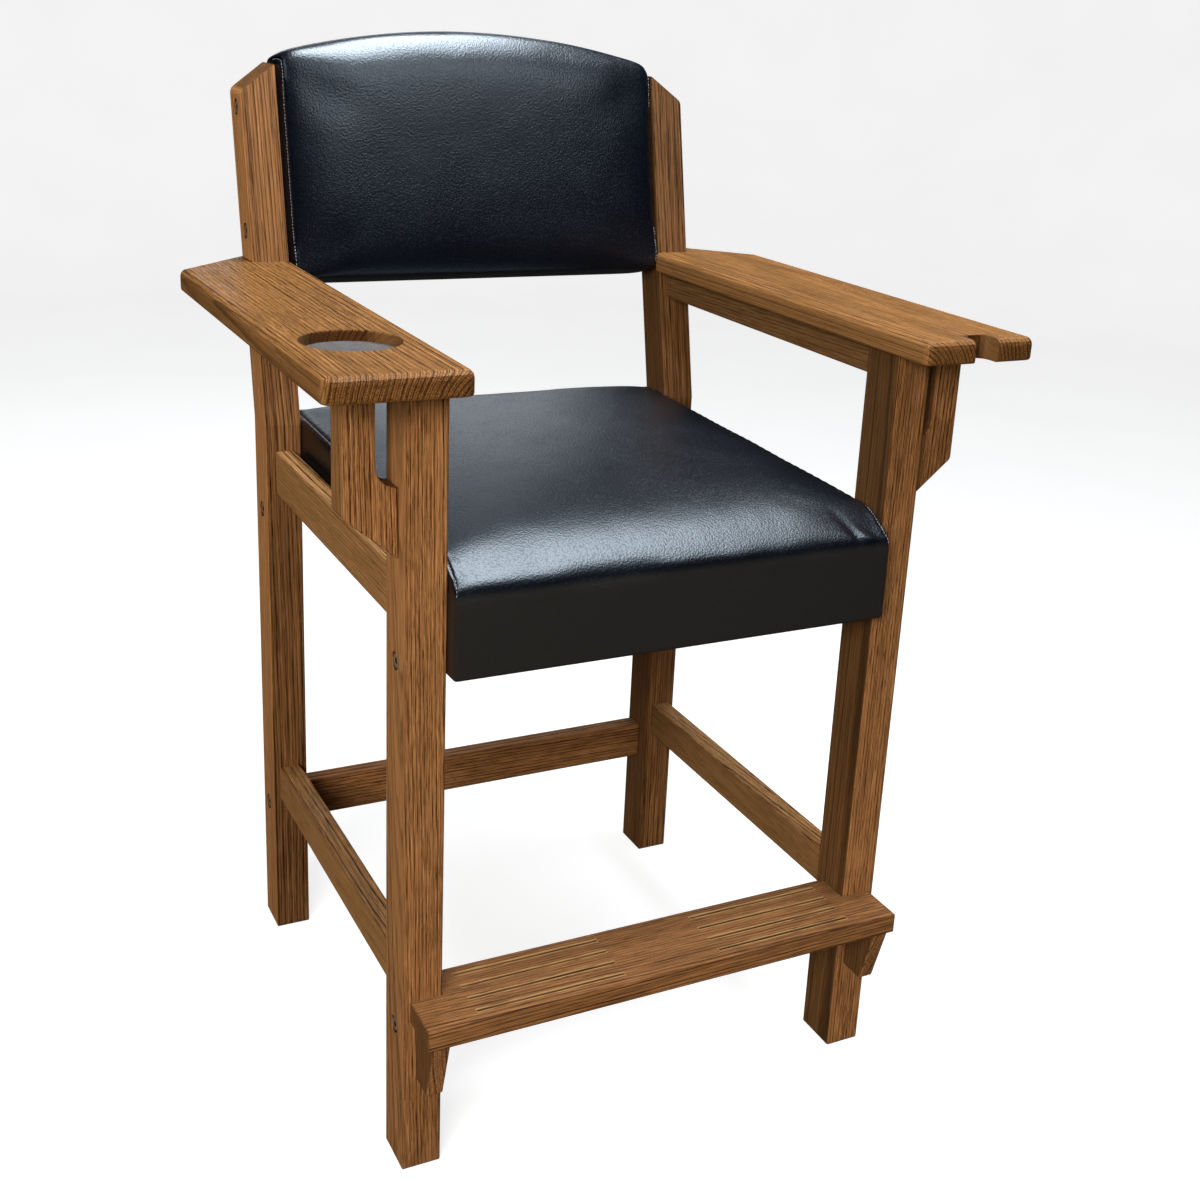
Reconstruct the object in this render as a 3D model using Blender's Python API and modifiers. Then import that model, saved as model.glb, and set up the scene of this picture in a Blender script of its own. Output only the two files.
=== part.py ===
"""Billiard spectator chair: a bolted hardwood frame with an upholstered seat and back.

Metres, +Z up, +Y towards the back, origin on the floor under the middle of the chair.
Each side frame is glued up with mortise and tenon joints. The back, the seat, the rear
stretcher and the front stretcher are bolted between the two side frames.
"""
import math

import bmesh
import bpy
from mathutils import Matrix, Vector

# Fits
CLEARANCE = 0.0003
EDGE_EASE = 0.0018

# Side frames
FRAME_WIDTH = 0.607
LEG_WIDTH = 0.0445
FRONT_LEG_DEPTH = 0.057
POST_DEPTH = 0.056
LEG_SPACING = 0.4675
POST_BEND_HEIGHT = 0.716
POST_RAKE = math.radians(11.9)
POST_TOP_BELOW_BACK = 0.0185
POST_TOP_DROP = 0.033
POST_CORNER_RADIUS = 0.013

# Side rails and their tenons
RAIL_THICKNESS = 0.023
RAIL_INSET = 0.0115
SEAT_RAIL_TOP = 0.683
SEAT_RAIL_HEIGHT = 0.056
LOWER_RAIL_TOP = 0.244
LOWER_RAIL_HEIGHT = 0.047
LOWER_RAIL_THICKNESS = 0.027
LOWER_RAIL_INSET = 0.0085
ARM_RAIL_HEIGHT = 0.034
TENON_LENGTH = 0.022
TENON_THICKNESS = 0.010
TENON_SHOULDER = 0.006

# Armrests, cup recess and cue notch
ARM_UNDERSIDE = 0.888
ARM_THICKNESS = 0.0255
ARM_WIDTH = 0.145
ARM_INNER_OVERHANG = 0.005
ARM_FRONT_OVERHANG = 0.0565
ARM_REAR_OVERHANG = 0.012
ARM_CORNER_RADIUS = 0.010
ARM_TOP_ROUND = 0.008
ARM_BOTTOM_ROUND = 0.003
CUP_DIAMETER = 0.1016
CUP_DEPTH = 0.0125
CUP_FROM_FRONT = 0.151
CUP_PAD_THICKNESS = 0.0015
NOTCH_WIDTH = 0.031
NOTCH_DEPTH = 0.028
NOTCH_FROM_INNER_EDGE = 0.079

# Slotted brackets under the armrests
ARM_BRACKET_REACH = 0.0565
ARM_BRACKET_THICKNESS = 0.0355
ARM_BRACKET_SETBACK = 0.017
ARM_BRACKET_DROP = 0.129
ARM_BRACKET_HEIGHT = 0.176
ARM_BRACKET_CORNER_RADIUS = 0.008
SLOT_WIDTH = 0.023
SLOT_DEPTH = 0.103

# Footboard, its grooves and its brackets
FOOTBOARD_TOP = 0.216
FOOTBOARD_THICKNESS = 0.0245
FOOTBOARD_OVERHANG = 0.059
FOOTBOARD_DEPTH = 0.103
FOOTBOARD_END_INSET = 0.0075
GROOVES_PER_GROUP = 4
GROOVE_LENGTH = 0.175
GROOVE_WIDTH = 0.0042
GROOVE_DEPTH = 0.0022
GROOVE_PITCH = 0.0235
GROOVE_FROM_FRONT = 0.0175
GROOVE_GROUP_OFFSET = 0.148
FOOT_BRACKET_THICKNESS = 0.019
FOOT_BRACKET_HEIGHT = 0.073
FOOT_BRACKET_TOP_DEPTH = 0.056
FOOT_BRACKET_BOTTOM_DEPTH = 0.035
FOOT_BRACKET_INSET = 0.0145

# Cross stretchers
STRETCHER_THICKNESS = 0.0255
REAR_STRETCHER_TOP = 0.206
REAR_STRETCHER_HEIGHT = 0.053
REAR_STRETCHER_SETBACK = 0.0195
FRONT_STRETCHER_HEIGHT = 0.038

# Seat
SEAT_BOTTOM = 0.5885
SEAT_DUST_COVER_THICKNESS = 0.0015
SEAT_FRAME_HEIGHT = 0.020
SEAT_FRAME_WIDTH = 0.040
SEAT_DECK_THICKNESS = 0.009
SEAT_FRONT_HEIGHT = 0.715
SEAT_REAR_HEIGHT = 0.729
SEAT_CROWN = 0.015
SEAT_WALL = 0.006
SEAT_FRONT_OVERHANG = 0.022
SEAT_FRONT_RADIUS = 0.034
SEAT_SIDE_DRAW = 0.004
SEAT_FRONT_BULGE = 0.005

# Back, measured up the leaning posts from their bend
BACK_BOTTOM = 0.1755
BACK_TOP = 0.4935
BACK_ARCH = 0.0355
BACK_PROUD = 0.016
BACK_REAR_INSET = 0.001
BACK_CROWN = 0.006
BACK_ARM_GAP = 0.0006
BACK_NARROWING_RUN = 0.016
BACK_TOP_RADIUS = 0.026
BACK_CORNER_RADIUS = 0.010
BACK_REAR_RADIUS = 0.008
BACK_BOARD_THICKNESS = 0.018
BACK_BORDER = 0.012

# Connector bolts, barrel nuts and arm screws
BOLT_HEAD_DIAMETER = 0.0195
BOLT_HEAD_THICKNESS = 0.004
BOLT_HEAD_RECESS = 0.001
BOLT_SHANK_DIAMETER = 0.006
BOLT_LENGTH = 0.090
BOLT_SOCKET = 0.006
BOLT_SOCKET_DEPTH = 0.003
BACK_BOLT_MARGIN = 0.0665
NUT_DIAMETER = 0.010
NUT_SETBACK = 0.002
NUT_FROM_LEG_FACE = 0.075
SCREW_LENGTH = 0.036
SCREW_HEAD_DIAMETER = 0.008
SCREW_HEAD_THICKNESS = 0.003
SCREW_SHANK_DIAMETER = 0.004
SCREW_POINT_LENGTH = 0.005
SCREW_SINK = 0.012
SCREW_END_DISTANCE = 0.110

# Facets
BOLT_SEGMENTS = 16
HOLE_SEGMENTS = 12
CUP_SEGMENTS = 40
CUSHION_DIVISIONS = 10
ARCH_STEPS = 14

# Places worked out from the sizes above
LEG_OUTER_X = FRAME_WIDTH / 2
LEG_INNER_X = LEG_OUTER_X - LEG_WIDTH
LEG_MID_X = LEG_OUTER_X - LEG_WIDTH / 2
RAIL_MID_X = LEG_OUTER_X - RAIL_INSET - RAIL_THICKNESS / 2
LOWER_RAIL_MID_X = LEG_OUTER_X - LOWER_RAIL_INSET - LOWER_RAIL_THICKNESS / 2
BACK_END_TOP = BACK_TOP - BACK_ARCH
POST_RISE = (BACK_END_TOP - POST_TOP_BELOW_BACK) * math.cos(POST_RAKE)
POST_HEIGHT = POST_BEND_HEIGHT + POST_RISE
POST_REACH = POST_RISE * math.tan(POST_RAKE)
BACK_DEPTH = POST_DEPTH * math.cos(POST_RAKE)
BACK_MID_Y = BACK_DEPTH / 2
BACK_REAR_Y = BACK_DEPTH - BACK_REAR_INSET
BACK_REACH = (
    (BACK_REAR_Y - BACK_REAR_RADIUS) * math.cos(POST_RAKE)
    + (BACK_TOP - BACK_REAR_RADIUS) * math.sin(POST_RAKE)
    + BACK_REAR_RADIUS
)
REAR_REACH = max(POST_DEPTH + POST_REACH, BACK_REACH)
OVERALL_DEPTH = FOOTBOARD_OVERHANG + FRONT_LEG_DEPTH + LEG_SPACING + REAR_REACH
LEG_FRONT_Y = FOOTBOARD_OVERHANG - OVERALL_DEPTH / 2
LEG_MID_Y = LEG_FRONT_Y + FRONT_LEG_DEPTH / 2
LEG_REAR_Y = LEG_FRONT_Y + FRONT_LEG_DEPTH
POST_FRONT_Y = LEG_REAR_Y + LEG_SPACING
POST_MID_Y = POST_FRONT_Y + POST_DEPTH / 2
POST_REAR_Y = POST_FRONT_Y + POST_DEPTH
ARM_TOP = ARM_UNDERSIDE + ARM_THICKNESS
ARM_INNER_X = LEG_INNER_X - ARM_INNER_OVERHANG
ARM_OUTER_X = ARM_INNER_X + ARM_WIDTH
ARM_MID_X = ARM_INNER_X + ARM_WIDTH / 2
ARM_FRONT_Y = LEG_FRONT_Y - ARM_FRONT_OVERHANG
FOOTBOARD_UNDERSIDE = FOOTBOARD_TOP - FOOTBOARD_THICKNESS
FOOTBOARD_FRONT_Y = LEG_FRONT_Y - FOOTBOARD_OVERHANG
FRONT_STRETCHER_TOP = FOOTBOARD_UNDERSIDE - CLEARANCE
SEAT_FRAME_BOTTOM = SEAT_BOTTOM + SEAT_DUST_COVER_THICKNESS + CLEARANCE
SEAT_FRAME_TOP = SEAT_FRAME_BOTTOM + SEAT_FRAME_HEIGHT
SEAT_DECK_BOTTOM = SEAT_FRAME_TOP + CLEARANCE
SEAT_POCKET_TOP = SEAT_DECK_BOTTOM + SEAT_DECK_THICKNESS + CLEARANCE
SEAT_BOLT_HEIGHT = SEAT_FRAME_BOTTOM + SEAT_FRAME_HEIGHT / 2
SEAT_HALF_WIDTH = LEG_INNER_X - CLEARANCE
SEAT_POCKET_X = SEAT_HALF_WIDTH - SEAT_SIDE_DRAW - SEAT_WALL
SEAT_POCKET_FRONT_Y = LEG_MID_Y - SEAT_FRAME_WIDTH / 2 - CLEARANCE
SEAT_POCKET_REAR_Y = POST_MID_Y + SEAT_FRAME_WIDTH / 2 + CLEARANCE
SEAT_FRONT_Y = LEG_FRONT_Y - SEAT_FRONT_OVERHANG
SEAT_REAR_Y = SEAT_POCKET_REAR_Y + SEAT_WALL
BACK_HALF_WIDTH = LEG_INNER_X - CLEARANCE
BACK_FRONT_HALF_WIDTH = ARM_INNER_X - BACK_ARM_GAP
BACK_BOLT_HEIGHTS = (BACK_BOTTOM + BACK_BOLT_MARGIN, BACK_END_TOP - BACK_BOLT_MARGIN)
NUT_LENGTH = BACK_BOARD_THICKNESS - 2 * NUT_SETBACK
BOLT_HOLE_RADIUS = BOLT_SHANK_DIAMETER / 2 + CLEARANCE
SIDES = (("left", -1), ("right", 1))

# Directions for flat outlines: drawn in XY, then turned so that they face along X or along Y
FACING_X = Matrix(((0, 0, 1, 0), (1, 0, 0, 0), (0, 1, 0, 0), (0, 0, 0, 1)))
FACING_Y = Matrix(((1, 0, 0, 0), (0, 0, -1, 0), (0, 1, 0, 0), (0, 0, 0, 1)))
BACK_FRAME = Matrix.Translation((0, POST_FRONT_Y, POST_BEND_HEIGHT)) @ Matrix.Rotation(-POST_RAKE, 4, "X")

FINISHES = {
    "stained_oak": ((0.27, 0.125, 0.045), 0.42, 0.0),
    "armrest_oak": ((0.38, 0.20, 0.085), 0.36, 0.0),
    "plywood": ((0.55, 0.40, 0.24), 0.65, 0.0),
    "black_vinyl": ((0.012, 0.013, 0.016), 0.42, 0.0),
    "dust_cloth": ((0.02, 0.02, 0.02), 0.9, 0.0),
    "grey_pad": ((0.20, 0.18, 0.185), 0.9, 0.0),
    "bronzed_steel": ((0.10, 0.075, 0.055), 0.4, 1.0),
    "zinc_steel": ((0.60, 0.60, 0.58), 0.35, 1.0),
}


def clear_scene():
    for old in list(bpy.data.objects):
        bpy.data.objects.remove(old)


def new_collection(name):
    collection = bpy.data.collections.new(name)
    bpy.context.scene.collection.children.link(collection)
    return collection


def finish(name):
    """The Principled material of one finish, made once."""
    if name in bpy.data.materials:
        return bpy.data.materials[name]
    colour, roughness, metallic = FINISHES[name]
    made = bpy.data.materials.new(name)
    made.use_nodes = True
    shader = made.node_tree.nodes["Principled BSDF"]
    shader.inputs["Base Color"].default_value = (*colour, 1.0)
    shader.inputs["Roughness"].default_value = roughness
    shader.inputs["Metallic"].default_value = metallic
    return made


def mesh_from(bm, name):
    mesh = bpy.data.meshes.new(name)
    bm.to_mesh(mesh)
    bm.free()
    return mesh


def evaluated_mesh(obj):
    bpy.context.view_layer.update()
    return bpy.data.meshes.new_from_object(obj.evaluated_get(bpy.context.evaluated_depsgraph_get()))


def block(name, low, high):
    """A box between two corners, as a mesh about its own middle, and the place of that middle."""
    low, high = Vector(low), Vector(high)
    bm = bmesh.new()
    bmesh.ops.create_cube(bm, size=1.0, matrix=Matrix.Diagonal((*(high - low), 1.0)))
    return mesh_from(bm, name), Matrix.Translation((low + high) / 2)


def rod(name, radius, length, segments):
    """A cylinder along Z, with its middle at the origin."""
    bm = bmesh.new()
    bmesh.ops.create_cone(
        bm, cap_ends=True, segments=segments, radius1=radius, radius2=radius, depth=length
    )
    return mesh_from(bm, name)


def plank(name, outline, thickness):
    """A flat board with a closed outline in XY, its thickness centred on Z = 0."""
    curve = bpy.data.curves.new(name, "CURVE")
    curve.dimensions = "2D"
    curve.fill_mode = "BOTH"
    curve.extrude = thickness / 2
    spline = curve.splines.new("POLY")
    spline.points.add(len(outline) - 1)
    for point, (x, y) in zip(spline.points, outline):
        point.co = (x, y, 0.0, 1.0)
    spline.use_cyclic_u = True
    holder = bpy.data.objects.new(name, curve)
    bpy.context.scene.collection.objects.link(holder)
    mesh = evaluated_mesh(holder)
    bpy.data.objects.remove(holder)
    bpy.data.curves.remove(curve)
    bm = bmesh.new()
    bm.from_mesh(mesh)
    bmesh.ops.remove_doubles(bm, verts=bm.verts, dist=0.00001)
    bmesh.ops.dissolve_limit(bm, angle_limit=math.radians(0.5), verts=bm.verts, edges=bm.edges)
    bmesh.ops.recalc_face_normals(bm, faces=bm.faces)
    bm.to_mesh(mesh)
    bm.free()
    return mesh


def turned(name, profile, steps):
    """A shape turned about Z from (radius, height) points that run down its outer side."""
    mesh = bpy.data.meshes.new(name)
    points = [(radius, 0.0, height) for radius, height in profile]
    mesh.from_pydata(points, [(i, i + 1) for i in range(len(points) - 1)], [])
    holder = bpy.data.objects.new(name, mesh)
    bpy.context.scene.collection.objects.link(holder)
    screw = holder.modifiers.new("turn", "SCREW")
    screw.axis = "Z"
    screw.steps = steps
    screw.render_steps = steps
    screw.use_merge_vertices = True
    screw.merge_threshold = 0.00001
    solid = evaluated_mesh(holder)
    bpy.data.objects.remove(holder)
    return solid


def arc(centre, radius, start, end, steps):
    """Points of a circular arc in degrees, both ends included."""
    angles = [math.radians(start + (end - start) * i / steps) for i in range(steps + 1)]
    return [(centre[0] + radius * math.cos(a), centre[1] + radius * math.sin(a)) for a in angles]


def round_corners(corners, steps=4):
    """An outline from (x, y, radius) corners, each with its radius replaced by an arc."""
    outline = []
    for i, (x, y, radius) in enumerate(corners):
        here = Vector((x, y))
        if radius == 0:
            outline.append((x, y))
            continue
        before = (Vector(corners[i - 1][:2]) - here).normalized()
        after = (Vector(corners[(i + 1) % len(corners)][:2]) - here).normalized()
        half = before.angle(after) / 2
        reach = radius / math.tan(half)
        centre = here + (before + after).normalized() * (radius / math.sin(half))
        first = here + before * reach - centre
        turn = first.angle_signed(here + after * reach - centre)
        for k in range(steps + 1):
            spoke = Matrix.Rotation(-turn * k / steps, 2) @ first
            outline.append(tuple(centre + spoke))
    return outline


def post_shift(height):
    """How far back the leaning part of a rear post lies at this height."""
    return max(0.0, height - POST_BEND_HEIGHT) * math.tan(POST_RAKE)


class Chair:
    """The chair's parts and cutters, each kind in its own collection."""

    def __init__(self):
        self.parts = new_collection("billiard_spectator_chair")
        self.cutters = new_collection("cutters")

    def part(self, name, mesh, place, finish_name, smooth=False):
        mesh.materials.clear()
        mesh.materials.append(finish(finish_name))
        if smooth:
            mesh.shade_smooth()
            mesh.set_sharp_from_angle(angle=math.radians(35))
        obj = bpy.data.objects.new(name, mesh)
        obj.matrix_world = place
        self.parts.objects.link(obj)
        return obj

    def cutter(self, name, mesh, place):
        obj = bpy.data.objects.new(name, mesh)
        obj.matrix_world = place
        obj.hide_render = True
        obj.display_type = "WIRE"
        self.cutters.objects.link(obj)
        return obj


def ease(obj, width=EDGE_EASE):
    """Sanded edges on a wooden piece."""
    bevel = obj.modifiers.new("eased edges", "BEVEL")
    bevel.width = width
    bevel.segments = 2
    bevel.limit_method = "ANGLE"
    bevel.angle_limit = math.radians(35)


def combine(obj, other, operation):
    boolean = obj.modifiers.new(other.name, "BOOLEAN")
    boolean.operation = operation
    boolean.solver = "EXACT"
    boolean.object = other


def cut(obj, *cutters):
    for cutter in cutters:
        combine(obj, cutter, "DIFFERENCE")


def side_plank(outline, thickness, x):
    """A board whose outline is drawn in (y, z), centred at this x."""
    return plank("side_plank", outline, thickness), Matrix.Translation((x, 0, 0)) @ FACING_X


def make_front_leg(chair, side, sign):
    mesh, place = block(
        "front_leg",
        (sign * LEG_MID_X - LEG_WIDTH / 2, LEG_FRONT_Y, 0),
        (sign * LEG_MID_X + LEG_WIDTH / 2, LEG_REAR_Y, ARM_UNDERSIDE - CLEARANCE),
    )
    leg = chair.part(f"front_leg_{side}", mesh, place, "stained_oak")
    ease(leg)
    return leg


def make_rear_post(chair, side, sign):
    reach = post_shift(POST_HEIGHT)
    outline = [
        (POST_FRONT_Y, 0),
        (POST_REAR_Y, 0),
        (POST_REAR_Y, POST_BEND_HEIGHT),
        (POST_REAR_Y + reach, POST_HEIGHT),
        (POST_FRONT_Y + reach, POST_HEIGHT),
        (POST_FRONT_Y, POST_BEND_HEIGHT),
    ]
    mesh, place = side_plank(outline, LEG_WIDTH, sign * LEG_MID_X)
    post = chair.part(f"rear_post_{side}", mesh, place, "stained_oak")
    ease(post)
    cut(post, make_post_top_cutter(chair, side, sign))
    return post


def make_post_top_cutter(chair, side, sign):
    """What is sawn off a post: its top slopes down to a rounded outer corner."""
    spare = LEG_WIDTH / 2
    slope = POST_TOP_DROP / LEG_WIDTH
    top_line = round_corners(
        [
            (LEG_INNER_X - spare, POST_HEIGHT + slope * spare, 0),
            (LEG_OUTER_X, POST_HEIGHT - POST_TOP_DROP, POST_CORNER_RADIUS),
            (LEG_OUTER_X, POST_HEIGHT - 2 * POST_TOP_DROP, 0),
            (LEG_OUTER_X + spare, POST_HEIGHT - 2 * POST_TOP_DROP, 0),
            (LEG_OUTER_X + spare, POST_HEIGHT + 2 * POST_TOP_DROP, 0),
            (LEG_INNER_X - spare, POST_HEIGHT + 2 * POST_TOP_DROP, 0),
        ]
    )
    outline = [(sign * x, z) for x, z in top_line]
    place = Matrix.Translation((0, POST_MID_Y + POST_REACH, 0)) @ FACING_Y
    return chair.cutter(f"post_top_{side}", plank("post_top", outline, 3 * POST_DEPTH), place)


def make_side_rail(chair, name, leg, post, x, thickness, top, height):
    """A rail between a front leg and a rear post, with a tenon at each end."""
    bottom = top - height
    front = LEG_REAR_Y + CLEARANCE
    outline = [
        (front, bottom),
        (POST_FRONT_Y + post_shift(bottom) - CLEARANCE, bottom),
        (POST_FRONT_Y + post_shift(top) - CLEARANCE, top),
        (front, top),
    ]
    mesh, place = side_plank(outline, thickness, x)
    rail = chair.part(name, mesh, place, "stained_oak")
    ease(rail)
    rear = POST_FRONT_Y + post_shift((bottom + top) / 2)
    low = Vector((x - TENON_THICKNESS / 2, LEG_REAR_Y - TENON_LENGTH, bottom + TENON_SHOULDER))
    high = Vector((x + TENON_THICKNESS / 2, rear + TENON_LENGTH, top - TENON_SHOULDER))
    fit = Vector((CLEARANCE, CLEARANCE, CLEARANCE))
    combine(rail, chair.cutter(f"{name}_tenons", *block("tenons", low, high)), "UNION")
    mortise = chair.cutter(f"{name}_mortises", *block("mortises", low - fit, high + fit))
    cut(leg, mortise)
    cut(post, mortise)
    return rail


def make_armrest(chair, side, sign):
    rear = POST_REAR_Y + post_shift(ARM_UNDERSIDE) + ARM_REAR_OVERHANG
    clip = ARM_OUTER_X - LEG_OUTER_X
    corners = [
        (ARM_INNER_X, ARM_FRONT_Y, ARM_CORNER_RADIUS),
        (ARM_OUTER_X, ARM_FRONT_Y, ARM_CORNER_RADIUS),
        (ARM_OUTER_X, rear - clip, ARM_CORNER_RADIUS),
        (LEG_OUTER_X, rear, 0),
        (ARM_INNER_X, rear, 0),
    ]
    outline = [(sign * x, y) for x, y in round_corners(corners)]
    mesh = plank("armrest", outline, ARM_THICKNESS)
    round_board(mesh, ARM_TOP_ROUND, ARM_BOTTOM_ROUND)
    place = Matrix.Translation((0, 0, ARM_UNDERSIDE + ARM_THICKNESS / 2))
    arm = chair.part(f"armrest_{side}", mesh, place, "armrest_oak", smooth=True)
    cut(arm, make_arm_notch_cutter(chair, side, sign))
    return arm


def round_board(mesh, top_radius, bottom_radius):
    """Rounds a flat board's upper and lower edges over, each with its own radius."""
    bm = bmesh.new()
    bm.from_mesh(mesh)
    highest = max(vert.co.z for vert in bm.verts)
    for level, radius, segments in ((highest, top_radius, 3), (-highest, bottom_radius, 2)):
        rim = [e for e in bm.edges if all(abs(v.co.z - level) < CLEARANCE / 2 for v in e.verts)]
        bmesh.ops.bevel(
            bm, geom=rim, offset=radius, segments=segments, profile=0.5, affect="EDGES", clamp_overlap=True
        )
    bm.to_mesh(mesh)
    bm.free()


def make_arm_notch_cutter(chair, side, sign):
    """The room for a leaning post in the rear inner corner of an armrest."""
    low, high = ARM_UNDERSIDE - POST_DEPTH, ARM_TOP + POST_DEPTH
    outline = [
        (POST_FRONT_Y + post_shift(low) - CLEARANCE, low),
        (POST_FRONT_Y + post_shift(low) + 3 * POST_DEPTH, low),
        (POST_FRONT_Y + post_shift(high) + 3 * POST_DEPTH, high),
        (POST_FRONT_Y + post_shift(high) - CLEARANCE, high),
    ]
    inner = ARM_INNER_X - ARM_CORNER_RADIUS
    outer = LEG_OUTER_X + CLEARANCE
    mesh, place = side_plank(outline, outer - inner, sign * (inner + outer) / 2)
    return chair.cutter(f"arm_post_room_{side}", mesh, place)


def make_cup_recess(chair, arm, sign):
    """A blind round recess in an armrest, with a thin pad on its floor."""
    centre_y = ARM_FRONT_Y + CUP_FROM_FRONT
    floor = ARM_TOP - CUP_DEPTH
    mesh = rod("cup", CUP_DIAMETER / 2, 2 * CUP_DEPTH, CUP_SEGMENTS)
    cut(arm, chair.cutter("cup_recess", mesh, Matrix.Translation((sign * ARM_MID_X, centre_y, ARM_TOP))))
    pad = rod("cup_pad", CUP_DIAMETER / 2 - CLEARANCE, CUP_PAD_THICKNESS, CUP_SEGMENTS)
    pad_place = Matrix.Translation((sign * ARM_MID_X, centre_y, floor + CLEARANCE + CUP_PAD_THICKNESS / 2))
    chair.part("cup_pad", pad, pad_place, "grey_pad", smooth=True)


def make_cue_notch(chair, arm, sign):
    """A round-ended notch in the front edge of an armrest, in which a cue leans."""
    centre_x = ARM_INNER_X + NOTCH_FROM_INNER_EDGE
    radius = NOTCH_WIDTH / 2
    end = arc((centre_x, ARM_FRONT_Y + NOTCH_DEPTH - radius), radius, 0, 180, 10)
    mouth = [(centre_x - radius, ARM_FRONT_Y - radius), (centre_x + radius, ARM_FRONT_Y - radius)]
    outline = [(sign * x, y) for x, y in end + mouth]
    mesh = plank("cue_notch", outline, 3 * ARM_THICKNESS)
    cut(arm, chair.cutter("cue_notch", mesh, Matrix.Translation((0, 0, ARM_UNDERSIDE))))


def make_arm_bracket(chair, side, sign):
    """A board on a front leg's outer face that carries the armrest, slotted beside the leg."""
    top = ARM_UNDERSIDE - CLEARANCE
    face = LEG_OUTER_X + CLEARANCE
    slot_bottom = top - SLOT_DEPTH
    outer = round_corners(
        [
            (face + SLOT_WIDTH, top, 0),
            (face + ARM_BRACKET_REACH, top, 0),
            (face + ARM_BRACKET_REACH, top - ARM_BRACKET_DROP, ARM_BRACKET_CORNER_RADIUS),
            (face, top - ARM_BRACKET_HEIGHT, 0),
        ]
    )
    slot = arc((face, slot_bottom + SLOT_WIDTH), SLOT_WIDTH, -90, 0, 6)
    outline = [(sign * x, z) for x, z in outer + slot]
    middle = LEG_FRONT_Y + ARM_BRACKET_SETBACK + ARM_BRACKET_THICKNESS / 2
    place = Matrix.Translation((0, middle, 0)) @ FACING_Y
    bracket = chair.part(
        f"arm_bracket_{side}", plank("arm_bracket", outline, ARM_BRACKET_THICKNESS), place, "stained_oak"
    )
    ease(bracket)


def make_footboard(chair):
    end = LEG_OUTER_X - FOOTBOARD_END_INSET
    neck = LEG_INNER_X - CLEARANCE
    shoulder = LEG_FRONT_Y - CLEARANCE
    rear = FOOTBOARD_FRONT_Y + FOOTBOARD_DEPTH
    right_half = [(end, FOOTBOARD_FRONT_Y), (end, shoulder), (neck, shoulder), (neck, rear)]
    outline = right_half + [(-x, y) for x, y in reversed(right_half)]
    place = Matrix.Translation((0, 0, FOOTBOARD_UNDERSIDE + FOOTBOARD_THICKNESS / 2))
    board = chair.part("footboard", plank("footboard", outline, FOOTBOARD_THICKNESS), place, "stained_oak")
    ease(board)
    cut(board, make_groove_cutter(chair))


def make_groove_cutter(chair):
    """Two groups of straight grooves across the top of the footboard."""
    bm = bmesh.new()
    size = Matrix.Diagonal((GROOVE_LENGTH, GROOVE_WIDTH, 2 * GROOVE_DEPTH, 1.0))
    for group in (-1, 1):
        for k in range(GROOVES_PER_GROUP):
            y = FOOTBOARD_FRONT_Y + GROOVE_FROM_FRONT + k * GROOVE_PITCH
            place = Matrix.Translation((group * GROOVE_GROUP_OFFSET, y, FOOTBOARD_TOP))
            bmesh.ops.create_cube(bm, size=1.0, matrix=place @ size)
    return chair.cutter("grooves", mesh_from(bm, "grooves"), Matrix())


def make_foot_bracket(chair, side, sign):
    """A tapered board on a front leg's front face, under the end of the footboard."""
    top = FOOTBOARD_UNDERSIDE - CLEARANCE
    bottom = top - FOOT_BRACKET_HEIGHT
    outline = [
        (LEG_FRONT_Y - CLEARANCE, top),
        (LEG_FRONT_Y - FOOT_BRACKET_TOP_DEPTH, top),
        (LEG_FRONT_Y - FOOT_BRACKET_BOTTOM_DEPTH, bottom),
        (LEG_FRONT_Y - CLEARANCE, bottom),
    ]
    x = LEG_OUTER_X - FOOT_BRACKET_INSET - FOOT_BRACKET_THICKNESS / 2
    mesh, place = side_plank(outline, FOOT_BRACKET_THICKNESS, sign * x)
    ease(chair.part(f"foot_bracket_{side}", mesh, place, "stained_oak"))


def make_stretcher(chair, name, front, top, height):
    half = LEG_INNER_X - CLEARANCE
    mesh, place = block(name, (-half, front, top - height), (half, front + STRETCHER_THICKNESS, top))
    stretcher = chair.part(name, mesh, place, "stained_oak")
    ease(stretcher)
    return stretcher


def make_seat_frame(chair):
    """The flat wooden frame inside the seat, its plywood deck and the cloth under it."""
    half = SEAT_POCKET_X - CLEARANCE
    front, rear = SEAT_POCKET_FRONT_Y + CLEARANCE, SEAT_POCKET_REAR_Y - CLEARANCE
    inner_front, inner_rear = front + SEAT_FRAME_WIDTH, rear - SEAT_FRAME_WIDTH
    low, high = SEAT_FRAME_BOTTOM, SEAT_FRAME_TOP

    def bar(name, corner, opposite):
        return chair.part(name, *block(name, corner, opposite), "plywood")

    front_rail = bar("seat_front_rail", (-half, front, low), (half, inner_front, high))
    rear_rail = bar("seat_rear_rail", (-half, inner_rear, low), (half, rear, high))
    for side, sign in SIDES:
        ends = sorted((sign * half, sign * (half - SEAT_FRAME_WIDTH)))
        bar(
            f"seat_end_rail_{side}",
            (ends[0], inner_front + CLEARANCE, low),
            (ends[1], inner_rear - CLEARANCE, high),
        )
    deck_top = SEAT_DECK_BOTTOM + SEAT_DECK_THICKNESS
    bar("seat_deck", (-half, front, SEAT_DECK_BOTTOM), (half, rear, deck_top))
    cloth_top = SEAT_BOTTOM + SEAT_DUST_COVER_THICKNESS
    cloth = block("seat_dust_cover", (-half, front, SEAT_BOTTOM), (half, rear, cloth_top))
    chair.part("seat_dust_cover", *cloth, "dust_cloth")
    return front_rail, rear_rail


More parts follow.
